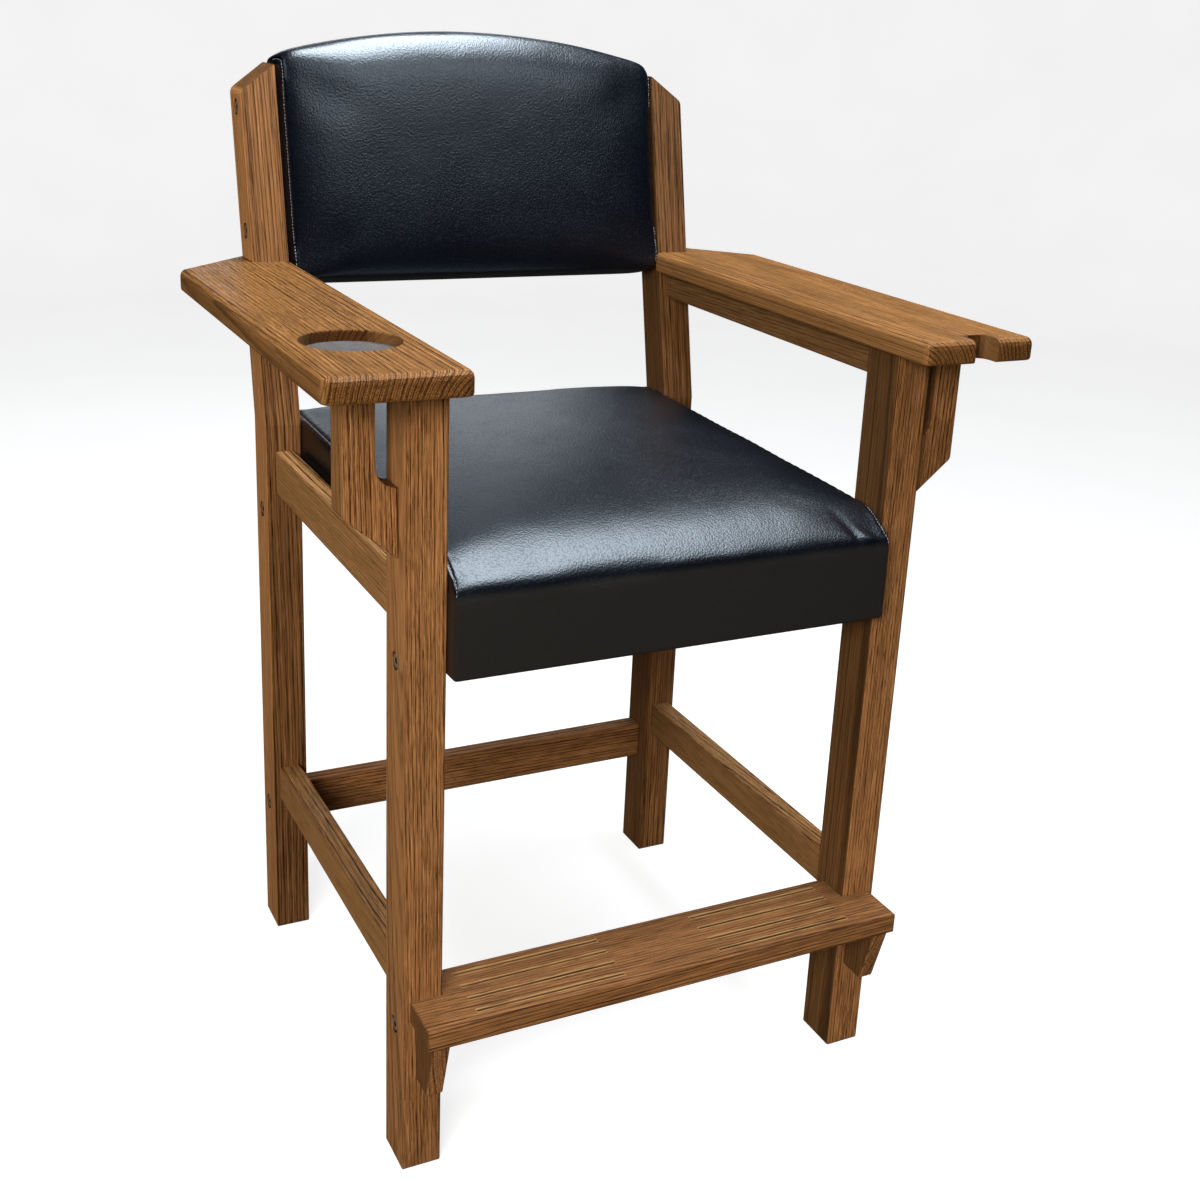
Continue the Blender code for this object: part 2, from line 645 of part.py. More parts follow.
def soft_cube():
    """A cube of side 2 whose faces are divided finely near their edges."""
    bm = bmesh.new()
    bmesh.ops.create_cube(bm, size=2.0)
    bmesh.ops.subdivide_edges(bm, edges=bm.edges, cuts=CUSHION_DIVISIONS - 1, use_grid_fill=True)
    for vert in bm.verts:
        vert.co = Vector([math.sin(c * math.pi / 2) for c in vert.co])
    return bm


def round_edge(a, b, edge_a, edge_b, radius):
    """Moves a point near the corner where a reaches edge_a and b reaches edge_b onto a rounded corner."""
    away_a, away_b = a - (edge_a[0] - edge_a[1] * radius), b - (edge_b[0] - edge_b[1] * radius)
    if away_a * edge_a[1] <= 0 or away_b * edge_b[1] <= 0:
        return a, b
    pull = max(abs(away_a), abs(away_b)) / math.hypot(away_a, away_b)
    return a + away_a * (pull - 1), b + away_b * (pull - 1)


def make_seat_cushion(chair):
    """A boxed cushion: crowned top, front edge rolled over, sides drawn in between the corners."""
    bm = soft_cube()
    for vert in bm.verts:
        u, v, w = vert.co
        swell = (1 - u * u) * (1 - v * v)
        rim = SEAT_FRONT_HEIGHT + (v + 1) / 2 * (SEAT_REAR_HEIGHT - SEAT_FRONT_HEIGHT)
        top = rim + SEAT_CROWN * math.sqrt(max(swell, 0.0))
        x = u * (SEAT_HALF_WIDTH - SEAT_SIDE_DRAW * (1 - v * v) * (1 - w * w))
        y = SEAT_FRONT_Y + (v + 1) / 2 * (SEAT_REAR_Y - SEAT_FRONT_Y)
        z = SEAT_BOTTOM + (w + 1) / 2 * (top - SEAT_BOTTOM)
        y, z = round_edge(y, z, (SEAT_FRONT_Y, -1), (top, 1), SEAT_FRONT_RADIUS)
        y -= SEAT_FRONT_BULGE * (1 - u * u) * (1 - w * w) * (1 - v) / 2
        vert.co = (x, y, z)
    cushion = chair.part("seat_cushion", mesh_from(bm, "seat_cushion"), Matrix(), "black_vinyl", smooth=True)
    pocket = block(
        "seat_pocket",
        (-SEAT_POCKET_X, SEAT_POCKET_FRONT_Y, SEAT_BOTTOM - SEAT_WALL),
        (SEAT_POCKET_X, SEAT_POCKET_REAR_Y, SEAT_POCKET_TOP),
    )
    cut(cushion, chair.cutter("seat_pocket", *pocket))
    return cushion


def back_outline(inset):
    """The arched outline of the back in (x, up the posts), drawn in by this inset."""
    half = BACK_HALF_WIDTH - inset
    arch = []
    for k in range(ARCH_STEPS + 1):
        x = half - 2 * half * k / ARCH_STEPS
        arch.append((x, BACK_TOP - BACK_ARCH * (x / BACK_HALF_WIDTH) ** 2 - inset))
    return arch + [(-half, BACK_BOTTOM + inset), (half, BACK_BOTTOM + inset)]


def back_panel(name, inset, front, rear):
    """A flat panel of the back between two depths behind the posts' front faces."""
    place = BACK_FRAME @ Matrix.Translation((0, (front + rear) / 2, 0)) @ FACING_Y
    return plank(name, back_outline(inset), rear - front), place


def make_back(chair):
    """The back: a plywood board, its padded cover and the padded panel that closes it behind."""
    board_front = BACK_MID_Y - BACK_BOARD_THICKNESS / 2
    board_rear = board_front + BACK_BOARD_THICKNESS
    inset = BACK_BORDER + CLEARANCE
    board = chair.part("back_board", *back_panel("back_board", inset, board_front, board_rear), "plywood")
    pad = back_panel("back_rear_pad", inset, board_rear + CLEARANCE, BACK_REAR_Y)
    chair.part("back_rear_pad", *pad, "black_vinyl")
    cushion = make_back_cushion(chair)
    room = back_panel("back_pocket", BACK_BORDER, board_front - CLEARANCE, BACK_REAR_Y + BACK_PROUD)
    cut(cushion, chair.cutter("back_pocket", *room))
    return board, cushion


def make_back_cushion(chair):
    bm = soft_cube()
    for vert in bm.verts:
        u, v, w = vert.co
        y = v * (BACK_PROUD if v < 0 else BACK_REAR_Y)
        behind = min(max(y / BACK_NARROWING_RUN, 0.0), 1.0)
        half = BACK_FRONT_HALF_WIDTH + behind * (BACK_HALF_WIDTH - BACK_FRONT_HALF_WIDTH)
        x = u * half
        top = BACK_TOP - BACK_ARCH * (x / BACK_HALF_WIDTH) ** 2
        z = BACK_BOTTOM + (w + 1) / 2 * (top - BACK_BOTTOM)
        y, z = round_edge(y, z, (-BACK_PROUD, -1), (top, 1), BACK_TOP_RADIUS)
        y, z = round_edge(y, z, (BACK_REAR_Y, 1), (top, 1), BACK_REAR_RADIUS)
        side = 1 if u > 0 else -1
        x, z = round_edge(x, z, (side * half, side), (top, 1), BACK_CORNER_RADIUS)
        y -= BACK_CROWN * (1 - u * u) * (1 - w * w) * (1 - v) / 2
        vert.co = (x, y, z)
    return chair.part("back_cushion", mesh_from(bm, "back_cushion"), BACK_FRAME, "black_vinyl", smooth=True)


def bolt_mesh(chair):
    """A connector bolt along Z: its head's face at the origin, its shank pointing down."""
    head, shank = BOLT_HEAD_DIAMETER / 2, BOLT_SHANK_DIAMETER / 2
    profile = [
        (0, 0),
        (head - BOLT_HEAD_THICKNESS / 4, 0),
        (head, -BOLT_HEAD_THICKNESS / 4),
        (head, -BOLT_HEAD_THICKNESS),
        (shank, -BOLT_HEAD_THICKNESS),
        (shank, -BOLT_LENGTH),
        (0, -BOLT_LENGTH),
    ]
    body = bpy.data.objects.new("bolt_body", turned("bolt_body", profile, BOLT_SEGMENTS))
    bpy.context.scene.collection.objects.link(body)
    socket = rod("bolt_socket", BOLT_SOCKET / math.sqrt(3), 2 * BOLT_SOCKET_DEPTH, 6)
    cut(body, chair.cutter("bolt_socket", socket, Matrix()))
    mesh = evaluated_mesh(body)
    bpy.data.objects.remove(body)
    return mesh


def bolt_hole_mesh():
    """The stepped hole that a connector bolt needs, along Z from the leg's outer face downwards."""
    head = BOLT_HEAD_DIAMETER / 2 + CLEARANCE
    step = -BOLT_HEAD_RECESS - BOLT_HEAD_THICKNESS - CLEARANCE
    end = -BOLT_HEAD_RECESS - BOLT_LENGTH - BOLT_HEAD_THICKNESS
    profile = [
        (0, BOLT_HEAD_DIAMETER),
        (head, BOLT_HEAD_DIAMETER),
        (head, step),
        (BOLT_HOLE_RADIUS, step),
        (BOLT_HOLE_RADIUS, end),
        (0, end),
    ]
    return turned("bolt_hole", profile, BOLT_SEGMENTS)


def nut_mesh(chair):
    """A barrel nut along Z with its cross hole along X."""
    body = bpy.data.objects.new("nut_body", rod("nut_body", NUT_DIAMETER / 2, NUT_LENGTH, HOLE_SEGMENTS))
    bpy.context.scene.collection.objects.link(body)
    hole = rod("nut_thread", BOLT_HOLE_RADIUS, 2 * NUT_DIAMETER, HOLE_SEGMENTS)
    cut(body, chair.cutter("nut_thread", hole, Matrix.Rotation(math.pi / 2, 4, "Y")))
    mesh = evaluated_mesh(body)
    bpy.data.objects.remove(body)
    return mesh


class BoltedJoint:
    """One connector bolt height: what it passes through, and how its barrel nut lies."""

    def __init__(self, name, point, outer_pieces, crossed, nut_turn):
        self.name = name
        self.point = point
        self.outer_pieces = outer_pieces
        self.crossed = crossed
        self.nut_turn = nut_turn


def make_bolts(chair, joints):
    bolt, hole, nut = bolt_mesh(chair), bolt_hole_mesh(), nut_mesh(chair)
    room_length = NUT_LENGTH / 2 + CLEARANCE + SEAT_FRAME_WIDTH
    room = rod("nut_room", NUT_DIAMETER / 2 + CLEARANCE, room_length, HOLE_SEGMENTS)
    room_shift = Matrix.Translation((0, 0, NUT_LENGTH / 2 + CLEARANCE - room_length / 2))
    for joint in joints:
        for side, sign in SIDES:
            inward = Matrix.Rotation(sign * math.pi / 2, 4, "Y")
            face = Matrix.Translation((sign * LEG_OUTER_X, *joint.point)) @ inward
            chair.part(
                f"{joint.name}_bolt_{side}",
                bolt.copy(),
                face @ Matrix.Translation((0, 0, -BOLT_HEAD_RECESS)),
                "bronzed_steel",
                smooth=True,
            )
            drill = chair.cutter(f"{joint.name}_bolt_hole_{side}", hole, face)
            for piece in joint.outer_pieces[side] + joint.crossed:
                cut(piece, drill)
            nut_x = sign * (LEG_OUTER_X - NUT_FROM_LEG_FACE)
            lie = Matrix.Translation((nut_x, *joint.point)) @ joint.nut_turn
            chair.part(f"{joint.name}_nut_{side}", nut.copy(), lie, "zinc_steel", smooth=True)
            nut_room = chair.cutter(f"{joint.name}_nut_room_{side}", room, lie @ room_shift)
            for piece in joint.crossed[:1]:
                cut(piece, nut_room)


def make_arm_screws(chair, side, sign, rail, arm):
    """Two wood screws up through an arm rail into its armrest."""
    head, shank = SCREW_HEAD_DIAMETER / 2, SCREW_SHANK_DIAMETER / 2
    screw = turned(
        "arm_screw",
        [
            (0, SCREW_LENGTH),
            (shank, SCREW_LENGTH - SCREW_POINT_LENGTH),
            (shank, SCREW_HEAD_THICKNESS),
            (head, 0),
            (0, 0),
        ],
        HOLE_SEGMENTS,
    )
    hole = turned(
        "arm_screw_hole",
        [
            (0, SCREW_LENGTH + CLEARANCE),
            (shank + CLEARANCE, SCREW_LENGTH + CLEARANCE),
            (shank + CLEARANCE, SCREW_HEAD_THICKNESS + CLEARANCE),
            (head + CLEARANCE, CLEARANCE),
            (head + CLEARANCE, -2 * SCREW_SINK),
            (0, -2 * SCREW_SINK),
        ],
        HOLE_SEGMENTS,
    )
    seat = ARM_UNDERSIDE - CLEARANCE - ARM_RAIL_HEIGHT + SCREW_SINK
    for place, y in (("front", LEG_REAR_Y + SCREW_END_DISTANCE), ("rear", POST_FRONT_Y - SCREW_END_DISTANCE)):
        spot = Matrix.Translation((sign * RAIL_MID_X, y, seat))
        chair.part(f"arm_screw_{place}_{side}", screw.copy(), spot, "zinc_steel", smooth=True)
        drill = chair.cutter(f"arm_screw_hole_{place}_{side}", hole, spot)
        cut(rail, drill)
        cut(arm, drill)


def make_side_frame(chair, side, sign):
    """One glued-up side: leg, post, three rails, armrest and brackets."""
    leg = make_front_leg(chair, side, sign)
    post = make_rear_post(chair, side, sign)

    def rail(name, mid_x, thickness, top, height):
        return make_side_rail(chair, f"{name}_{side}", leg, post, sign * mid_x, thickness, top, height)

    rail("seat_rail", RAIL_MID_X, RAIL_THICKNESS, SEAT_RAIL_TOP, SEAT_RAIL_HEIGHT)
    rail("lower_rail", LOWER_RAIL_MID_X, LOWER_RAIL_THICKNESS, LOWER_RAIL_TOP, LOWER_RAIL_HEIGHT)
    arm_rail = rail("arm_rail", RAIL_MID_X, RAIL_THICKNESS, ARM_UNDERSIDE - CLEARANCE, ARM_RAIL_HEIGHT)
    arm = make_armrest(chair, side, sign)
    if side == "left":
        make_cup_recess(chair, arm, sign)
    else:
        make_cue_notch(chair, arm, sign)
    make_arm_screws(chair, side, sign, arm_rail, arm)
    make_arm_bracket(chair, side, sign)
    make_foot_bracket(chair, side, sign)
    return leg, post


def main():
    clear_scene()
    chair = Chair()
    legs, posts = {}, {}
    for side, sign in SIDES:
        leg, post = make_side_frame(chair, side, sign)
        legs[side], posts[side] = [leg], [post]
    make_footboard(chair)
    front_stretcher = make_stretcher(
        chair,
        "front_stretcher",
        LEG_MID_Y - STRETCHER_THICKNESS / 2,
        FRONT_STRETCHER_TOP,
        FRONT_STRETCHER_HEIGHT,
    )
    rear_front = POST_FRONT_Y + REAR_STRETCHER_SETBACK
    rear_stretcher = make_stretcher(
        chair, "rear_stretcher", rear_front, REAR_STRETCHER_TOP, REAR_STRETCHER_HEIGHT
    )
    seat_front_rail, seat_rear_rail = make_seat_frame(chair)
    seat_cushion = make_seat_cushion(chair)
    back_board, back_cushion = make_back(chair)

    upright = Matrix()
    lying = Matrix.Rotation(math.pi / 2, 4, "X")
    front_rails, rear_rails = [seat_front_rail, seat_cushion], [seat_rear_rail, seat_cushion]
    joints = [
        BoltedJoint("seat_front", (LEG_MID_Y, SEAT_BOLT_HEIGHT), legs, front_rails, upright),
        BoltedJoint("seat_rear", (POST_MID_Y, SEAT_BOLT_HEIGHT), posts, rear_rails, upright),
        BoltedJoint(
            "front_stretcher",
            (LEG_MID_Y, FRONT_STRETCHER_TOP - FRONT_STRETCHER_HEIGHT / 2),
            legs,
            [front_stretcher],
            lying,
        ),
        BoltedJoint(
            "rear_stretcher",
            (rear_front + STRETCHER_THICKNESS / 2, REAR_STRETCHER_TOP - REAR_STRETCHER_HEIGHT / 2),
            posts,
            [rear_stretcher],
            lying,
        ),
    ]
    across_back = BACK_FRAME.to_3x3().to_4x4() @ lying
    for level, height in zip(("lower", "upper"), BACK_BOLT_HEIGHTS):
        point = BACK_FRAME @ Vector((0, BACK_MID_Y, height))
        joints.append(
            BoltedJoint(f"back_{level}", (point.y, point.z), posts, [back_board, back_cushion], across_back)
        )
    make_bolts(chair, joints)


main()
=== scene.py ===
"""Looks of the billiard spectator chair: stained oak, black vinyl over foam and bronzed bolts, in a studio.

Lengths are metres and angles radians.
"""

import math

import bmesh
import bpy
import numpy as np
from mathutils import Euler, Matrix, Vector, noise


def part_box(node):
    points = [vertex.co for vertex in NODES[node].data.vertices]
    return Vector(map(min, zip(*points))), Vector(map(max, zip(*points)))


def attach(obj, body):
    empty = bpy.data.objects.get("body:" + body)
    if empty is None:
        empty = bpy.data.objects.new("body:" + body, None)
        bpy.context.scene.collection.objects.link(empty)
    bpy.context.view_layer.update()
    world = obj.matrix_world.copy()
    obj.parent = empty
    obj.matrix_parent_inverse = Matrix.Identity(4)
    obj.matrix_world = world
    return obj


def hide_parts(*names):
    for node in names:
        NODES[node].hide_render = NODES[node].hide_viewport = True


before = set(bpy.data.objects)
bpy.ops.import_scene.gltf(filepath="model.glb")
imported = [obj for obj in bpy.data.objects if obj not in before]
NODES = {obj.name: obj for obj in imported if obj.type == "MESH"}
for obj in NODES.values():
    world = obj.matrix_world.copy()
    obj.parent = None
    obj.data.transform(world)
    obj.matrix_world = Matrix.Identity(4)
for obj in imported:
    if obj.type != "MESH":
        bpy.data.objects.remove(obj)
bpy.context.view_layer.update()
BODY = "root"

# The photograph's camera
CAMERA_PLACE = Vector((-0.77482, -1.66912, 1.23043))
CAMERA_AZIMUTH = math.radians(27.98)
CAMERA_DROP = math.radians(18.32)
CAMERA_ROLL = math.radians(3.06)
CAMERA_LENS = 47.08
CAMERA_SENSOR = 36.0
CAMERA_SHIFT = (-0.0308, -0.0579)

# Places taken from the frame
SEAT_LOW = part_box("seat_cushion")[0]
POST_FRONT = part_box("rear_post_left")[0].y
LEG_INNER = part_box("front_leg_right")[0].x
POST_BEND_HEIGHT = 0.716
POST_RAKE = math.radians(11.9)
BACK_FRAME = Matrix.Translation((0, POST_FRONT, POST_BEND_HEIGHT)) @ Matrix.Rotation(-POST_RAKE, 4, "X")

# Armrests
ARM_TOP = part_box("armrest_left")[1].z
CUP_RADIUS = 0.0508
NOTCH_X = 0.333
NOTCH_HALF_WIDTH = 0.0155
NOTCH_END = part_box("armrest_right")[0].y + 0.028

# Footboard grooves
FOOTBOARD_LOW, FOOTBOARD_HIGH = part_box("footboard")
GROOVE_DEPTH = 0.0022
GROOVE_WIDTH = 0.0042
GROOVE_LENGTH = 0.175
GROOVE_PITCH = 0.0235
GROOVE_FROM_FRONT = 0.0175
GROOVE_GROUP_OFFSET = 0.148
GROOVES_PER_GROUP = 4

# Seat cushion
SEAT_HALF_WIDTH = LEG_INNER - 0.0004
SEAT_FRONT = -0.3295
SEAT_REAR = 0.2695
SEAT_BOTTOM = SEAT_LOW.z
SEAT_FRONT_TOP = 0.7135
SEAT_REAR_TOP = 0.7275
SEAT_CROWN = 0.0135
SEAT_ROLL_RADIUS = 0.0333
SEAT_ROLL_RUN = 0.062
SEAT_REAR_RADIUS = 0.020
SEAT_LOWER_RADIUS = 0.004
SEAT_SEAM_RADIUS = 0.013
SEAT_CORNER_RADIUS = 0.004
SEAT_BAND_TOP = 0.6835
SEAT_ROLL_PROUD = 0.0020
SEAT_HOLLOW = 0.004
SEAT_HOLLOW_RIM = 0.011
# Tucks at the right front corner: start and end from the corner, spread and rise
SEAT_TUCKS = (
    ((-0.040, 0.0, 0.004), (-0.060, 0.05, 0.036), 0.006, -0.0032),
    ((-0.014, 0.0, 0.008), (-0.045, 0.03, 0.028), 0.005, -0.0024),
    ((-0.028, 0.0, 0.002), (-0.050, 0.01, 0.004), 0.007, 0.0016),
)

# Back cushion, in the frame of the leaning posts
BACK_HALF_WIDTH = LEG_INNER - 0.0004
BACK_FRONT_HALF_WIDTH = 0.2532
BACK_NARROWING_RUN = 0.016
BACK_FRONT = -0.012
BACK_REAR = 0.0536
BACK_BOTTOM = 0.1755
BACK_TOP = 0.4925
BACK_ARCH = 0.0355
BACK_PUFF = 0.009
BACK_ROLL_RADIUS = 0.024
BACK_LOWER_RADIUS = 0.013
BACK_REAR_RADIUS = 0.007
BACK_SEAM_RADIUS = 0.018
BACK_SEAM_SHIFT = 0.009
REAR_PAD_BORDER = 0.0115
REAR_PAD_DEPTH = 0.0155
REAR_PAD_PROUD = 0.002
REAR_PAD_RADII = (0.002, 0.006, 0.002, 0.006)
REAR_PAD_SEAM_RADIUS = 0.005

# Upholstery
COVER_STEP = 0.0075
EDGE_ROWS = (0.0, 0.0016, 0.0034, 0.0056, 0.0085, 0.0125)
PUFF_FRAMES = 20
STITCH_PITCH = 0.0040
STITCH_LENGTH = 0.0031
THREAD_RADIUS = 0.00042
SEAM_VALLEY_DEPTH = 0.0011
SEAM_VALLEY_WIDTH = 0.0016
SEAM_SWELL_HEIGHT = 0.0006
SEAM_SWELL_PLACE = 0.006
SEAM_SWELL_WIDTH = 0.004
PUCKER_HEIGHT = 0.00030
PUCKER_PITCH = 0.016
PUCKER_REACH = 0.009

# Connector bolts
BOLT_HEAD_RADIUS = 0.00975
BOLT_HEAD_THICKNESS = 0.004
BOLT_SHANK_RADIUS = 0.003
BOLT_LENGTH = 0.090
BOLT_SOCKET_HALF_WIDTH = 0.003
BOLT_SOCKET_DEPTH = 0.003
BOLT_SOCKET_BEVEL = 0.0004
BOLT_TIP_BEVEL = 0.0008
BOLT_SEGMENTS = 36

# Dust cover and its staples
CLOTH_THICKNESS = 0.0007
CLOTH_HEM = 0.014
STAPLE_WIDTH = 0.010
STAPLE_WIRE = 0.0006
STAPLE_PITCH = 0.038


# Node trees

class Tree:
    """Adds nodes to one node tree. A node's inputs may be plain values or other nodes' sockets."""

    def __init__(self, tree):
        self.tree = tree

    def feed(self, socket, value):
        if isinstance(value, bpy.types.NodeSocket):
            self.tree.links.new(value, socket)
        elif value is not None:
            socket.default_value = value

    def add(self, kind, inputs=None, **settings):
        node = self.tree.nodes.new(kind)
        for name, value in settings.items():
            setattr(node, name, value)
        for name, value in (inputs or {}).items():
            self.feed(node.inputs[name], value)
        return node

    def use(self, group, inputs):
        """Places a shader node group and returns its outputs."""
        return self.add("ShaderNodeGroup", inputs, node_tree=group).outputs

    def math(self, operation, *values):
        return self.add("ShaderNodeMath", dict(enumerate(values)), operation=operation).outputs[0]

    def times(self, first, *others):
        for value in others:
            first = self.math("MULTIPLY", first, value)
        return first

    def vector(self, operation, *values):
        node = self.add("ShaderNodeVectorMath", dict(enumerate(values)), operation=operation)
        return node.outputs["Value" if operation in ("LENGTH", "DOT_PRODUCT") else "Vector"]

    def scaled(self, vector, factors):
        return self.vector("MULTIPLY", vector, factors)

    def split(self, vector):
        """The X, Y and Z of a vector."""
        return self.add("ShaderNodeSeparateXYZ", {"Vector": vector}).outputs

    def noise(self, place, scale, detail=2.0, roughness=0.5):
        inputs = {"Vector": place, "Scale": scale, "Detail": detail, "Roughness": roughness}
        return self.add("ShaderNodeTexNoise", inputs).outputs[0]

    def drift(self, place, scale, detail=2.0):
        """A random vector of about unit size, centred on zero, that changes slowly with place."""
        inputs = {"Vector": place, "Scale": scale, "Detail": detail}
        colour = self.add("ShaderNodeTexNoise", inputs).outputs[1]
        return self.vector("SUBTRACT", colour, (0.5, 0.5, 0.5))

    def cells(self, place, scale):
        return self.add("ShaderNodeTexVoronoi", {"Vector": place, "Scale": scale}).outputs["Distance"]

    def span(self, value, low, high, low_value=0.0, high_value=1.0):
        """Turns low..high smoothly into low_value..high_value, and holds outside."""
        inputs = {"Value": value, "From Min": low, "From Max": high}
        inputs |= {"To Min": low_value, "To Max": high_value}
        return self.add("ShaderNodeMapRange", inputs, interpolation_type="SMOOTHSTEP").outputs[0]

    def fall(self, value, low, high):
        """Turns low..high smoothly into 1..0, and holds outside."""
        return self.span(value, low, high, 1.0, 0.0)

    def ramp(self, value, *stops):
        node = self.add("ShaderNodeValToRGB", {"Fac": value})
        elements = node.color_ramp.elements
        while len(elements) < len(stops):
            elements.new(1.0)
        for element, (place, level) in zip(elements, stops):
            element.position = place
            element.color = (level, level, level, 1)
        return node.outputs[0]

    def mix(self, factor, first, second):
        node = self.add("ShaderNodeMix", data_type="RGBA")
        for socket, value in zip((node.inputs[0], node.inputs[6], node.inputs[7]), (factor, first, second)):
            self.feed(socket, value)
        return node.outputs[2]

    def bump(self, height, distance, strength=1.0):
        inputs = {"Height": height, "Distance": distance, "Strength": strength}
        return self.add("ShaderNodeBump", inputs).outputs[0]


def node_group(name, kind, inputs, outputs):
    """A new node group with named sockets: its tree, its inputs and its outputs."""
    tree = bpy.data.node_groups.new(name, kind)
    for label, socket, value in inputs:
        made = tree.interface.new_socket(label, in_out="INPUT", socket_type="NodeSocket" + socket)
        if value is not None:
            made.default_value = value
    for label, socket in outputs:
        tree.interface.new_socket(label, in_out="OUTPUT", socket_type="NodeSocket" + socket)
    return Tree(tree), tree.nodes.new("NodeGroupInput").outputs, tree.nodes.new("NodeGroupOutput").inputs


def new_material(name):
    """A new material: its tree, its Principled shader and the piece's own coordinates."""
    material = bpy.data.materials.new(name)
    material.use_nodes = True
    tree = Tree(material.node_tree)
    place = tree.add("ShaderNodeTexCoord").outputs["Object"]
    return material, tree, material.node_tree.nodes["Principled BSDF"].inputs, place


def colour(red, green, blue):
    return (red, green, blue, 1.0)


# Shared effects

def make_oak_grain():
    """Oak along Z: growth rings round the Z axis, fine fibre streaks and open pores, darker on end grain."""
    inputs = [
        ("Vector", "Vector", None), ("Facing", "Vector", None),
        ("Ring Width", "Float", 0.0045), ("Figure", "Float", 1.0),
        ("Light", "Color", colour(0.4, 0.2, 0.08)), ("Dark", "Color", colour(0.08, 0.03, 0.01)),
    ]
    outputs = [("Color", "Color"), ("Roughness", "Float"), ("Height", "Float")]
    tree, given, made = node_group("oak_grain", "ShaderNodeTree", inputs, outputs)
    slow = tree.scaled(given["Vector"], (1, 1, 0.12))
    wander = tree.scaled(tree.drift(slow, 5.0), (0.024, 0.024, 0))
    tremble = tree.scaled(tree.drift(slow, 48.0), (0.0022, 0.0022, 0))
    place = tree.vector("ADD", tree.vector("ADD", given["Vector"], wander), tremble)
    radius = tree.vector("LENGTH", tree.scaled(place, (1, 1, 0)))
    rings = tree.math("DIVIDE", radius, given["Ring Width"])
    number = tree.math("FLOOR", rings)
    each = tree.add("ShaderNodeTexWhiteNoise", {"W": number}, noise_dimensions="1D").outputs[0]
    within = tree.math("FRACT", rings)
    early = tree.ramp(within, (0, 0.05), (0.06, 1), (0.17, 0.85), (0.30, 0.15), (0.6, 0), (1, 0))
    early = tree.times(early, tree.span(each, 0, 1, 0.45, 1))
    porous = tree.noise(tree.scaled(place, (1, 1, 0.012)), 1100.0, 2.0)
    lines = tree.times(early, tree.span(porous, 0.34, 0.56, 0.70, 1.0))
    late = tree.math("FRACT", tree.math("MULTIPLY_ADD", rings, 2.3, 0.37))
    lines = tree.math("MAXIMUM", lines, tree.ramp(late, (0, 0), (0.10, 0.62), (0.30, 0.15), (0.5, 0), (1, 0)))
    fibre = tree.noise(tree.scaled(place, (1, 1, 0.007)), 1150.0, 3.0, 0.65)
    streaks = tree.span(fibre, 0.46, 0.60)
    pores = tree.span(tree.noise(tree.scaled(place, (1, 1, 0.022)), 1600.0, 1.0), 0.54, 0.64)
    pores = tree.times(pores, tree.math("MULTIPLY_ADD", early, 0.5, 0.5))
    figure = tree.math("MULTIPLY_ADD", lines, 0.92, tree.times(streaks, 0.45))
    shade = tree.math("MULTIPLY_ADD", pores, 0.50, tree.times(figure, given["Figure"]))
    clouds = tree.noise(tree.scaled(place, (1, 1, 0.10)), 42.0, 3.0)
    blotch = tree.span(clouds, 0.36, 0.68, -0.04, 0.12)
    end = tree.math("ABSOLUTE", tree.vector("DOT_PRODUCT", given["Facing"], (0, 0, 1)))
    shade = tree.math("ADD", tree.math("ADD", shade, blotch), tree.span(end, 0.55, 0.95, 0.0, 0.30))
    shade = tree.math("MINIMUM", tree.math("MAXIMUM", shade, 0.0), 1.0)
    flecks = tree.noise(tree.scaled(place, (1, 1, 0.02)), 820.0, 2.0)
    pale = tree.scaled(given["Light"], (1.5, 1.55, 1.7))
    light = tree.mix(tree.span(flecks, 0.52, 0.66, 0.0, 0.75), given["Light"], pale)
    tree.feed(made["Color"], tree.mix(shade, light, given["Dark"]))
    satin = tree.span(tree.noise(place, 26.0, 3.0), 0.3, 0.7, 0.44, 0.58)
    tree.feed(made["Roughness"], tree.math("MULTIPLY_ADD", pores, 0.20, satin))
    tree.feed(made["Height"], tree.math("MULTIPLY_ADD", lines, -0.7, tree.times(pores, -0.7)))
    return tree.tree


def make_edge_wear_and_shade():
    """A mask close to the edges of a box-shaped piece, broken up: where hands and feet make it rougher, and
    where its colour takes painted shade.
    """
    inputs = [
        ("Vector", "Vector", None), ("Centre", "Vector", None), ("Half Size", "Vector", None),
        ("Reach", "Float", 0.004),
    ]
    tree, given, made = node_group("edge_wear_and_shade_mask", "ShaderNodeTree", inputs, [("Mask", "Float")])
    away = tree.vector("ABSOLUTE", tree.vector("SUBTRACT", given["Vector"], given["Centre"]))
    inside = tree.vector("SUBTRACT", given["Half Size"], away)
    x, y, z = tree.split(inside)
    lesser, greater = tree.math("MINIMUM", x, y), tree.math("MAXIMUM", x, y)
    from_edge = tree.math("MAXIMUM", lesser, tree.math("MINIMUM", greater, z))
    broken = tree.span(tree.noise(given["Vector"], 70.0, 4.0, 0.6), 0.30, 0.72, 0.5, 1.4)
    reach = tree.times(given["Reach"], broken)
    near = tree.math("SUBTRACT", 1.0, tree.math("DIVIDE", from_edge, reach))
    tree.feed(made["Mask"], tree.span(near, 0.0, 1.0))
    return tree.tree


def make_pebble_grain():
    """Embossed vinyl: small rounded pebbles of uneven height, with fine creases between them."""
    inputs = [("Vector", "Vector", None), ("Pebbles Per Metre", "Float", 520.0)]
    outputs = [("Height", "Float"), ("Crease", "Float")]
    tree, given, made = node_group("pebble_grain", "ShaderNodeTree", inputs, outputs)
    pebbles = tree.cells(given["Vector"], given["Pebbles Per Metre"])
    uneven = tree.noise(given["Vector"], tree.times(given["Pebbles Per Metre"], 1.2), 1.0, 0.5)
    tree.feed(made["Height"], tree.math("SUBTRACT", tree.times(uneven, 0.8), pebbles))
    tree.feed(made["Crease"], tree.span(pebbles, 0.45, 0.8))
    return tree.tree


